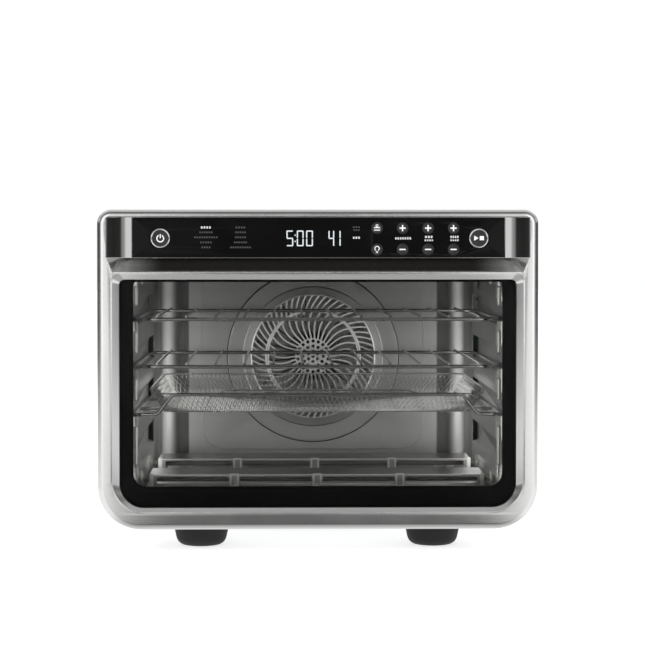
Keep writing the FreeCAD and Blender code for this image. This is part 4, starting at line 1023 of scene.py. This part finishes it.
def icon(shell, kind, x, z, y, size):
    """Plain symbol on a button's face."""
    white = 2
    if kind == "power":
        stroke(shell, arc((x, z), size, 118, 422, 26), size * 0.32, y, white)
        stroke(shell, [(x, z + size * 0.1), (x, z + size * 1.25)], size * 0.32, y, white)
    elif kind == "plus":
        shell.plate([(x + px * size, z + pz * size) for px, pz in (
            (-0.22, -1), (0.22, -1), (0.22, -0.22), (1, -0.22), (1, 0.22), (0.22, 0.22),
            (0.22, 1), (-0.22, 1), (-0.22, 0.22), (-1, 0.22), (-1, -0.22), (-0.22, -0.22))], y, white)
    elif kind == "minus":
        shell.plate(rounded((x - size, x + size), (z - size * 0.2, z + size * 0.2), 0.1, steps=2), y, white)
    elif kind == "bulb":
        stroke(shell, arc((x, z + size * 0.3), size * 0.72, -60, 240, 18), size * 0.26, y, white)
        for drop in (0.55, 0.95):
            shell.plate(rounded((x - size * 0.34, x + size * 0.34),
                                (z - size * (drop + 0.2), z - size * drop), 0.1, steps=2), y, white)
    elif kind == "levels":
        for lift in (-0.8, 0.0):
            bar = ((x - size, x + size), (z + size * lift, z + size * (lift + 0.3)))
            shell.plate(rounded(*bar, 0.1, steps=2), y, white)
        stroke(shell, arc((x, z + size * 0.75), size * 0.36, 0, 340, 14), size * 0.24, y, white)
    else:
        triangle = [(x - size * 1.45, z - size * 0.8), (x - size * 0.1, z), (x - size * 1.45, z + size * 0.8)]
        shell.plate(triangle, y, white)
        square = ((x + size * 0.3, x + size * 1.6), (z - size * 0.65, z + size * 0.65))
        shell.plate(rounded(*square, 0.15, steps=2), y, white)


ICONS = {"button_power": "power", "button_start_stop": "start", "button_rack_level": "levels",
         "button_light": "bulb", "button_function_up": "plus", "button_time_up": "plus",
         "button_heat_up": "plus", "button_function_down": "minus", "button_time_down": "minus",
         "button_heat_down": "minus"}


class OVEN_OT_buttons(bpy.types.Operator):
    """Builds the dished push buttons with their rings and symbols"""
    bl_idname = "oven.buttons"
    bl_label = "Buttons"

    def execute(self, context):
        for node, kind in ICONS.items():
            low, high = span(node)
            centre = ((low.x + high.x) / 2, low.y, (low.z + high.z) / 2)
            flange = (high.x - low.x) / 2
            radius, back = flange - 0.6, high.y - low.y
            big = radius > 8
            ring = 1.5 if big else 0.5
            shell = Shell()
            profile = [(0, back), (2, back), (2, 3.9), (flange, 3.9), (flange, 2.9), (radius, 2.9),
                       (radius, 0.75), (radius - ring * 0.15, 0.3), (radius - ring * 0.4, 0.08),
                       (radius - ring * 0.6, 0.08), (radius - ring * 0.85, 0.25), (radius - ring, 0.62),
                       (radius - ring * 1.35, 0.8), (radius * 0.5, 0.95), (0, 1.0)]
            kinds = [0] * 6 + ([1] * 5 if big else [0] * 5) + [0] * 3
            shell.turned(profile, centre, "y", 56 if big else 40, materials=kinds)
            face = centre[1] + 0.82
            size, drop = {"power": (3.3, 0.3), "start": (3.1, 0)}.get(kind, (3.0, 0))
            icon(shell, kind, centre[0], centre[2] - drop, (face - 0.22, face + 0.2), size)
            finish_shell(node + "_cap", shell, ["button_black", "ring_steel", "icon_white"], node,
                         (node,), 50)
        return {"FINISHED"}


# ------------------------------------------------------------------ racks, basket and tray


class OVEN_OT_racks(bpy.types.Operator):
    """Builds the two wire racks from bent edge wires and a row of cross wires"""
    bl_idname = "oven.racks"
    bl_label = "Racks"

    def execute(self, context):
        sizes = context.scene.oven_wires
        for node in ("upper_rack", "lower_rack"):
            low, high = span(node)
            thick, thin = 1.9, 1.2
            height = low.z + thick
            left, right = low.x + thick, high.x - thick
            front, back = low.y + thick, high.y - thick
            edge = bent([(left, front, height), (right, front, height), (right, back, height),
                         (left, back, height)], 22, True, 10)
            meshes = [wire("edge", [edge], thick, True, 4)]
            count, pitch = sizes.cross_count, sizes.cross_pitch
            start = Vector((-pitch * (count - 1) / 2, (front - thin) * MM, (high.z - thin) * MM))
            meshes.append(grown("Wire Row", {"Count": count, "Pitch": pitch, "Radius": thin * MM,
                                             "Start": start, "Length": (back - front + 2 * thin) * MM,
                                             "Material": MATERIALS["wire_chrome"]}))
            finish_mesh(node + "_wires", joined(node, meshes), ["wire_chrome"], node,
                        (node,), 50)
        return {"FINISHED"}


def even(points, count):
    """The closed loop of points, resampled to evenly spaced ones."""
    loop = [Vector(point) for point in points] + [Vector(points[0])]
    lengths = [(b - a).length for a, b in zip(loop, loop[1:])]
    total, result, index, passed = sum(lengths), [], 0, 0.0
    for step in range(count):
        target = total * step / count
        while passed + lengths[index] < target:
            passed += lengths[index]
            index += 1
        result.append(loop[index].lerp(loop[index + 1], (target - passed) / lengths[index]))
    return result


class OVEN_OT_basket(bpy.types.Operator):
    """Builds the air-fry basket's mesh with its rims and wire frame, and finishes the crumb tray"""
    bl_idname = "oven.basket"
    bl_label = "Basket"

    def execute(self, context):
        sizes = context.scene.oven_wires
        low, high = BASKET_LOW, BASKET_HIGH
        wide, long = sizes.diamond_wide / MM, sizes.diamond_long / MM
        floor = (high.x - 14.2, low.y + 2.6, high.y - 8.2, 14)
        rim = (high.x - 0.9, low.y + 0.9, high.y - 0.9, 18)
        bottom, top = low.z + 0.7, high.z - 0.9

        def outline(shape):
            half, front, back, corner = shape
            return rounded((-half, half), (front, back), corner, steps=10)

        def top_at(point):
            if point[1] > rim[1] + 12:
                return top
            return top - 3.6 * min(1, max(0, (abs(point[0]) - 94) / 4))

        count = round(2 * (floor[0] * 2 + floor[2] - floor[1]) / wide) * 2
        below, above = even(outline(floor), count), even(outline(rim), count)
        rows = 5
        net = bmesh.new()
        places = {}

        def node(key, x, y, z):
            if key not in places:
                places[key] = net.verts.new((x * MM, y * MM, z * MM))
            return places[key]

        for row in range(rows):
            for column in range(count):
                if (row + column) % 2:
                    continue
                for step in (-1, 1):
                    ends = []
                    for level, place in ((row, column), (row + 1, (column + step) % count)):
                        share = level / rows
                        point = below[place].lerp(above[place], share)
                        height = bottom + (top_at(point) - bottom) * share
                        ends.append(node(("wall", level, place), point.x, point.y, height))
                    net.edges.new(ends)

        def inside(x, y):
            half, front, back, corner = floor
            dx, dy = max(0, abs(x) - half + corner), max(0, front + corner - y, y - back + corner)
            return math.hypot(dx, dy) <= corner if dx and dy else abs(x) <= half and front <= y <= back

        columns, lines = int(floor[0] / (wide / 2)) + 1, int((floor[2] - floor[1]) / (long / 2)) + 1
        for i in range(-columns, columns + 1):
            for j in range(lines + 1):
                if (i + j) % 2:
                    continue
                for step in (-1, 1):
                    spots = [(i * wide / 2, floor[1] + j * long / 2),
                             ((i + step) * wide / 2, floor[1] + (j + 1) * long / 2)]
                    if all(inside(*spot) for spot in spots):
                        net.edges.new([node(("floor", a, b), spot[0], spot[1], bottom)
                                       for (a, b), spot in zip(((i, j), (i + step, j + 1)), spots)])
        base = bpy.data.meshes.new("basket_net")
        net.to_mesh(base)
        net.free()
        strands = grown("Strand Net", {"Half Width": sizes.strand, "Material": MATERIALS["mesh_steel"]}, base)
        rim_line = [(p.x, p.y, top_at(p)) for p in even(outline(rim), 220)]
        foot_line = [(p.x, p.y, bottom) for p in even(outline(floor), 160)]
        meshes = [strands, wire("rim", [rim_line], 0.9, True, 2), wire("foot", [foot_line], 0.6, True, 1)]
        finish_mesh("basket_net", joined("basket_net", meshes), ["mesh_steel"], "basket",
                    ("basket_mesh",), 40)

        low, high = span("basket_frame")
        thick = 1.7
        left, right, front, back = low.x + thick, high.x - thick, low.y + thick, high.y - thick
        height, rise = low.z + thick, high.z - thick
        route = bent([(-160, back, height), (left, back - 20, height), (left, front, height),
                      (-160, front, height), (-145, front, rise), (145, front, rise), (160, front, height),
                      (right, front, height), (right, back - 20, height), (160, back, height)], 7, True, 6)
        bars = [[(left, y, height), (right, y, height)] for y in (-110, 30)]
        meshes = [wire("edge", [route], thick, True, 4), wire("bars", bars, thick, False, 4)]
        finish_mesh("basket_wires", joined("basket_wires", meshes), ["wire_chrome"], "basket",
                    ("basket_frame",), 50)
        smoothed("crumb_tray", "tray_steel", 40)
        return {"FINISHED"}


# ------------------------------------------------------------------ cavity


class OVEN_OT_cavity(bpy.types.Operator):
    """Finishes the cavity's walls and adds the rear panel's pressed line and the mouth's beads"""
    bl_idname = "oven.cavity"
    bl_label = "Cavity"

    def execute(self, context):
        for node in ("left_liner", "right_liner", "rear_liner", "cavity_ceiling", "cavity_floor"):
            smoothed(node, "cavity_enamel", 40)
        smoothed("front_frame", "frame_steel", 40)
        self.mouth_beads()
        face = WALL_HIGH.y - 0.8
        half, bottom, top = 127, 70, WALL_HIGH.z - 1
        route = bent([(-half, face, top), (-half, face, bottom), (half, face, bottom), (half, face, top)],
                     26, False, 12)
        bead = wire("rear_bead", [route], 0.7, False, 3)
        finish_mesh("rear_bead", bead, ["cavity_enamel"], "case", (), 60)
        return {"FINISHED"}

    @staticmethod
    def mouth_beads():
        """Bright pressed beads down each side of the cavity's mouth, between the rack grooves."""
        beads = Shell()
        levels = [span(node)[0].z + 2 for node in ("basket_frame", "lower_rack", "upper_rack")]
        lows = [84] + [level + 13 for level in levels]
        highs = [level - 11 for level in levels] + [264]
        half, aside = 2.2, 181.2
        for low, high in zip(lows, highs):
            profile = [(0, low)]
            for turn in map(math.radians, (30, 60, 90)):
                profile.append((half * math.sin(turn), low + half * (1 - math.cos(turn))))
            profile += [(radius, low + high - height) for radius, height in profile[::-1]]
            for side in (-1, 1):
                beads.turned(profile, (side * aside, FRAME_FRONT + 1.0, 0), "z", 20)
        finish_shell("mouth_beads", beads, ["clip_steel"], "case", (), 60)


class OVEN_OT_fan(bpy.types.Operator):
    """Builds the fan grille with its swept vanes and finishes the fan behind it"""
    bl_idname = "oven.fan"
    bl_label = "Fan grille"

    def execute(self, context):
        sizes = context.scene.oven_wires
        axis = (GRILLE_LOW.z + GRILLE_HIGH.z) / 2
        front, seat = GRILLE_LOW.y, GRILLE_HIGH.y
        centre = Vector((0, 0, axis * MM))
        shell = Shell()
        rim = (GRILLE_HIGH.x - GRILLE_LOW.x) / 2
        # Segments given material 2, the component black, are painted shade in the groove at the grille's outer
        # rim.
        shell.turned([(69.4, front + 0.5), (69.7, front + 0.1), (70.3, front), (71.3, front + 0.5),
                      (77.6, front + 1.0), (79.2, front + 1.2), (79.7, front + 1.7), (80.6, front + 2.0),
                      (90, front + 2.05), (rim - 2.6, front + 2.1), (rim - 1.4, front + 2.3),
                      (rim - 0.9, front + 2.9), (rim - 0.5, front + 3.6), (rim, seat - 1.0), (rim, seat),
                      (78, seat), (78, front + 3), (72.4, front + 1.8),
                      (69.4, front + 1.4), (69.4, front + 0.5)], (0, 0, axis), "y", 120,
                     materials=[1, 1, 1, 0, 0, 0, 0, 0, 0, 0, 2, 2, 2, 0, 0, 0, 0, 0, 1])
        shell.turned([(50.8, front + 0.5), (51.5, front), (53.9, front), (54.6, front + 0.5),
                      (54.4, front + 2.2), (51.0, front + 2.2), (50.8, front + 0.5)],
                     (0, 0, axis), "y", 96, material=1)
        rings = plain_mesh("grille_rings", shell)
        bar, bulge, sweep = 1.7, 5, 5
        vane, rib = Shell(), Shell()
        points = []
        for share in (step / 10 for step in range(11)):
            turn = math.radians(bulge * math.sin(math.pi * share) - sweep * share)
            points.append(polar(19.6 + share * 32.4, turn))
        stroke(vane, points, bar, (front + 0.15, front + 1.6), 1)
        slant = -9
        points = [polar(53.6 + 16.6 * share, math.radians(slant * share)) for share in (0, 0.33, 0.67, 1)]
        stroke(rib, points, bar, (front + 0.2, front + 1.7), 1)
        wheels = []
        for name, shape, count in (("vane", vane, sizes.vanes), ("rib", rib, sizes.ribs)):
            wheel = grown("Around Fan", {"Count": count, "Centre": centre,
                                         "Material": MATERIALS["grille_steel"]}, plain_mesh(name, shape))
            wheel.polygons.foreach_set("material_index", [1] * len(wheel.polygons))
            wheels.append(wheel)
        hub = Shell()
        hub_radius, hole, pitch = 20.7, 1.95, 5.85
        outline = arc((0, axis), hub_radius, 0, 360 - 360 / 72, 71)
        holes = [arc((0, axis), hole, 0, 330, 11)]
        for circle in (1, 2, 3):
            for step in range(6 * circle):
                turn = math.tau * step / (6 * circle)
                spot = (pitch * circle * math.sin(turn), axis + pitch * circle * math.cos(turn))
                holes.append(arc(spot, hole, 0, 330, 11))
        faces = [hub.ring(at_depth(loop, front)) for loop in [outline] + holes]
        backs = [hub.ring(at_depth(loop, front + 1.3)) for loop in [outline] + holes]
        hub.cap(faces, (0, -1, 0), 1)
        hub.cap(backs, (0, 1, 0), 1)
        hub.strip(backs[0], faces[0], 1)
        for fore, rear in zip(faces[1:], backs[1:]):
            hub.strip(rear, fore, 1)
        finish_mesh("fan_guard", joined("fan_guard", [rings, *wheels, plain_mesh("hub", hub)]),
                    ["cavity_enamel", "grille_steel", "component_black"],
                    "case", ("fan_grille",), 35)
        smoothed("grille_screws", "cavity_enamel")
        for node, material in (("convection_fan", "fan_aluminium"), ("cooling_fan", "fan_aluminium"),
                               ("fan_shaft", "screw_steel"), ("fan_chamber", "galvanised"),
                               ("fan_motor", "motor_iron"), ("motor_bracket", "galvanised")):
            smoothed(node, material)
        return {"FINISHED"}


class OVEN_OT_heaters(bpy.types.Operator):
    """Finishes the heating rods and guards, adds the guards' clips and a bright strip of painted highlight
    along each guard's top edge, and finishes the probe and lamp
    """
    bl_idname = "oven.heaters"
    bl_label = "Heaters and lamp"

    def execute(self, context):
        for node in ("upper_heaters", "lower_heaters"):
            smoothed(node, "heater_rod")
        smoothed("heater_insulators", "ceramic")
        for node in ("front_heater_guard", "rear_heater_guard"):
            smoothed(node, "guard_steel")
            low, high = span(node)
            clips = Shell()
            for x in (-84, 0, 84):
                for side in (-1, 1):
                    clips.plate(rounded((x + side * 3.6 - 0.9, x + side * 3.6 + 0.9),
                                        (low.z + 0.4, high.z - 0.2), 0.5, steps=3),
                                (low.y - 1.0, low.y + 0.2))
                clips.plate(rounded((x - 4.5, x + 4.5), (low.z + 0.3, low.z + 2.0), 0.5, steps=3),
                            (low.y - 1.0, low.y + 0.2))
                clips.block((x - 4.4, x + 4.4), (low.y - 0.8, low.y + 5), (high.z - 0.1, high.z + 0.7))
            # Bright strip along the guard's front top edge: a painted highlight standing for the light on that
            # edge.
            clips.block((low.x + 2, high.x - 2), (low.y - 0.5, low.y + 0.7), (high.z - 0.9, high.z + 0.2))
            for side in (-1, 1):
                x = side * (high.x - 2.2)
                clips.plate(rounded((x - 2.0, x + 2.0), (low.z - 4.5, high.z + 1.2), 0.8, steps=3),
                            (low.y - 1.2, low.y + 0.2))
            finish_shell(node + "_clips", clips, ["clip_steel"], "case", (), 40)
        smoothed("temperature_probe", "screw_steel")
        smoothed("lamp_lens", "lamp_glass")
        smoothed("lamp_bulb", "lamp_glass")
        smoothed("lamp_housing", "lamp_metal")
        return {"FINISHED"}


# ------------------------------------------------------------------ case


class OVEN_OT_case(bpy.types.Operator):
    """Finishes the case's sheets, screws, insulation, electrics and cord bush"""
    bl_idname = "oven.case"
    bl_label = "Case"

    def execute(self, context):
        for node, material in (
                ("outer_wrap", "case_steel"), ("base_pan", "galvanised"), ("rear_cover", "galvanised"),
                ("case_screws", "screw_steel"), ("wall_spacers", "foot_rubber"),
                ("cord_inlet", "inlet_plastic"), ("hinge_brackets", "galvanised"),
                ("insulation_blanket", "mineral_wool"), ("power_board", "circuit_board"),
                ("power_components", "component_black")):
            smoothed(node, material)
        return {"FINISHED"}


class OVEN_OT_feet(bpy.types.Operator):
    """Builds the four tapered feet with rounded soles"""
    bl_idname = "oven.feet"
    bl_label = "Feet"

    def execute(self, context):
        low, high = span("feet")
        shell = Shell()
        middle = ((low.x + high.x) / 2, (low.y + high.y) / 2)
        top, base, recess, screw = 29.0, 23.0, 5.2, 2.1
        reach = (high.x - middle[0] - top, high.y - middle[1] - top)
        for side in (-1, 1):
            for end in (-1, 1):
                centre = (middle[0] + side * reach[0], middle[1] + end * reach[1], low.z)
                shell.turned([(screw, high.z), (top - 0.4, high.z), (top, high.z - 0.5), (top - 0.9, 20.0),
                              (base + 2.6, 8.2), (base + 1.7, 5.6), (base + 0.4, 3.4), (base - 1.5, 1.8),
                              (base - 3.4, 0.7), (base - 5.6, 0.15), (base - 7.6, 0.0),
                              (recess + 0.4, 0.0), (recess, 0.4), (recess, 14.0), (screw, 14.0),
                              (screw, high.z)], centre, "z", 64)
        finish_shell("moulded_feet", shell, ["foot_rubber"], "case", ("feet",), 40)
        return {"FINISHED"}


# ------------------------------------------------------------------ studio


def light_by_bearing(graph, x, y):
    """Brightness of the studio by the bearing from the oven's front: dark straight ahead, bright just
    beside that, dark out to the sides, and half bright behind."""
    turned = graph.math("ARCTAN2", x, graph.math("MULTIPLY", y, -1.0))
    bearing = graph.math("ABSOLUTE", graph.math("SUBTRACT", turned, math.radians(1.0)))
    ramp = graph.add("ShaderNodeValToRGB", {"Fac": graph.math("DIVIDE", bearing, math.pi)})
    stops = [(0.0, 0.05), (4.4, 0.06), (5.2, 1.2), (27, 1.2), (36, 0.5), (45, 0.4), (51, 0.03), (86, 0.02),
             (100, 0.03), (134, 0.05), (148, 0.4), (165, 0.4), (180, 0.15)]
    elements = ramp.color_ramp.elements
    while len(elements) < len(stops):
        elements.new(0.5)
    for element, (angle, level) in zip(elements, stops):
        element.position = angle / 180
        element.color = (level, level, level, 1)
    return ramp.outputs[0]


class OVEN_OT_studio(bpy.types.Operator):
    """Lays the pale floor and sets the world, the lights and the camera"""
    bl_idname = "oven.studio"
    bl_label = "Studio"

    def execute(self, context):
        scene = context.scene
        self.world(scene)
        self.floor(scene)
        self.lights(scene)
        camera = bpy.data.cameras.new("camera")
        camera.sensor_width, camera.lens = 36.0, 118.3
        camera.clip_end = 50
        camera.shift_x, camera.shift_y = -0.0012, -0.0489
        holder = bpy.data.objects.new("camera", camera)
        scene.collection.objects.link(holder)
        aside, distance, eye = -35.5, 2298, 304
        aim, aim_height, lift = 5.0, 227.6, 0.05
        holder.location = (aside * MM, -distance * MM, eye * MM)
        focal = camera.lens / camera.sensor_width
        yaw = math.atan((aim - aside) / (distance + FRONT))
        pitch = math.atan((eye - aim_height) / (distance + FRONT)) - math.atan(lift / focal)
        holder.rotation_euler = (math.radians(90) - pitch, 0, -yaw)
        scene.camera = holder
        scene.view_settings.view_transform = "Standard"
        return {"FINISHED"}

    @staticmethod
    def world(scene):
        world = bpy.data.worlds.new("studio")
        world.use_nodes = True
        scene.world = world
        graph = Graph(world.node_tree)
        world.node_tree.nodes.clear()
        where = graph.add("ShaderNodeSeparateXYZ", {0: graph.add("ShaderNodeTexCoord").outputs["Generated"]})
        around = light_by_bearing(graph, where.outputs[0], where.outputs[1])
        overhead = graph.spread(where.outputs[2], 0.34, 0.62, 0.0, 1.0, smooth=True)
        sideways = graph.spread(graph.math("ABSOLUTE", where.outputs[0]), 0.7, 0.9, 0.0, 1.0)
        raised = graph.spread(where.outputs[2], 0.06, 0.26, 0.0, 1.0, smooth=True)
        beside = graph.math("MULTIPLY", sideways, raised)
        ceiling = graph.spread(where.outputs[1], -0.45, -0.05, 0.13, 0.62, smooth=True)
        level = graph.blend(graph.math("MAXIMUM", overhead, beside), around,
                            graph.math("MAXIMUM", ceiling, graph.math("MULTIPLY", sideways, 0.62)))
        lit = graph.add("ShaderNodeBackground", {"Color": level, "Strength": 1.0})
        plain = graph.add("ShaderNodeBackground", {"Color": (1, 1, 1, 1), "Strength": 1.0})
        seen = graph.add("ShaderNodeLightPath").outputs["Is Camera Ray"]
        mix = graph.add("ShaderNodeMixShader", {0: seen, 1: lit.outputs[0], 2: plain.outputs[0]})
        graph.add("ShaderNodeOutputWorld", {"Surface": mix.outputs[0]})

    @staticmethod
    def floor(scene):
        build = bmesh.new()
        bmesh.ops.create_grid(build, x_segments=1, y_segments=1, size=12)
        mesh = bpy.data.meshes.new("floor")
        build.to_mesh(mesh)
        build.free()
        floor = bpy.data.objects.new("floor", mesh)
        scene.collection.objects.link(floor)
        material, graph = new_material("pale_floor")
        position = graph.add("ShaderNodeTexCoord").outputs["Object"]
        where = graph.add("ShaderNodeSeparateXYZ", {0: position})
        grazing = graph.add("ShaderNodeLayerWeight", {"Blend": 0.5}).outputs["Facing"]
        middle = graph.spread(grazing, 0.45, 0.75, 0.4, 0.05, smooth=True)
        side = graph.spread(graph.math("ABSOLUTE", where.outputs[0]), 0.19, 0.25, middle, 0.95, smooth=True)
        ahead = graph.spread(where.outputs[1], -0.3, -0.2, 0.0, 0.8)
        near = graph.math("MAXIMUM", side, ahead)
        around = light_by_bearing(graph, where.outputs[0], where.outputs[1])
        away = graph.add("ShaderNodeVectorMath", {0: position}, operation="LENGTH").outputs["Value"]
        mirrored = graph.blend(graph.spread(away, 1.2, 3.5, 0.0, 1.0), near, around)
        path = graph.add("ShaderNodeLightPath")
        pale = graph.add("ShaderNodeBsdfPrincipled", {"Base Color": (0.86, 0.86, 0.86, 1), "Roughness": 0.9,
                                                      "Emission Color": (1, 1, 1, 1),
                                                      "Emission Strength": 0.72})
        shown = graph.add("ShaderNodeEmission", {"Color": mirrored, "Strength": 1.0})
        mix = graph.add("ShaderNodeMixShader", {0: path.outputs["Is Glossy Ray"], 1: pale.outputs[0],
                                                2: shown.outputs[0]})
        graph.add("ShaderNodeOutputMaterial", {"Surface": mix.outputs[0]})
        mesh.materials.append(material)

    @staticmethod
    def lights(scene):
        for name, place, target, size, power in (
                ("key", (-1.5, -1.9, 1.9), (0, 0, 0.15), 1.2, 26),
                ("fill", (1.7, -1.7, 1.5), (0, 0, 0.15), 1.2, 18),
                ("back", (0.6, 2.2, 1.8), (0, 0, 0.15), 1.4, 26),
                ("cavity_top", (0, -0.09, 0.279), (0, 0.0, 0.0), 0.24, 0.03),
                ("cavity_left", (-0.172, 0.0, 0.165), (0.2, 0.0, 0.165), 0.2, 0.17),
                ("cavity_right", (0.172, 0.0, 0.165), (-0.2, 0.0, 0.165), 0.2, 0.17)):
            lamp = bpy.data.lights.new(name, "AREA")
            lamp.energy, lamp.size = power, size
            if name in ("cavity_left", "cavity_right"):
                lamp.shape, lamp.size_y = "RECTANGLE", 0.21
            holder = bpy.data.objects.new(name, lamp)
            scene.collection.objects.link(holder)
            holder.location = place
            holder.rotation_euler = (Vector(target) - Vector(place)).to_track_quat("-Z", "Y").to_euler()
            holder.visible_glossy = name.startswith("cavity")
            holder.visible_camera = False


class OVEN_PT_pieces(bpy.types.Panel):
    """Lists the oven's operators and their sizes"""
    bl_idname = "OVEN_PT_pieces"
    bl_label = "Countertop oven"
    bl_space_type = "VIEW_3D"
    bl_region_type = "UI"
    bl_category = "Oven"

    def draw(self, context):
        for group in (context.scene.oven_door, context.scene.oven_wires, context.scene.oven_finish):
            for name in group.__annotations__:
                self.layout.prop(group, name)
        for operator in PIECES:
            self.layout.operator(operator.bl_idname)


PIECES = (OVEN_OT_case, OVEN_OT_feet, OVEN_OT_cavity, OVEN_OT_fan, OVEN_OT_heaters, OVEN_OT_racks,
          OVEN_OT_basket, OVEN_OT_door_frame, OVEN_OT_door_glass, OVEN_OT_handle, OVEN_OT_panel_marks,
          OVEN_OT_buttons, OVEN_OT_studio)
SETTINGS = {"oven_door": OvenDoorSizes, "oven_wires": OvenWireSizes, "oven_finish": OvenFinish}


def register():
    for name, group in SETTINGS.items():
        bpy.utils.register_class(group)
        setattr(bpy.types.Scene, name, PointerProperty(type=group))
    for item in PIECES + (OVEN_PT_pieces,):
        bpy.utils.register_class(item)


def unregister():
    for item in (OVEN_PT_pieces,) + PIECES[::-1]:
        bpy.utils.unregister_class(item)
    for name, group in SETTINGS.items():
        delattr(bpy.types.Scene, name)
        bpy.utils.unregister_class(group)


def main():
    register()
    make_materials()
    for operator in PIECES:
        group, name = operator.bl_idname.split(".")
        getattr(getattr(bpy.ops, group), name)()


if __name__ == "__main__":
    main()
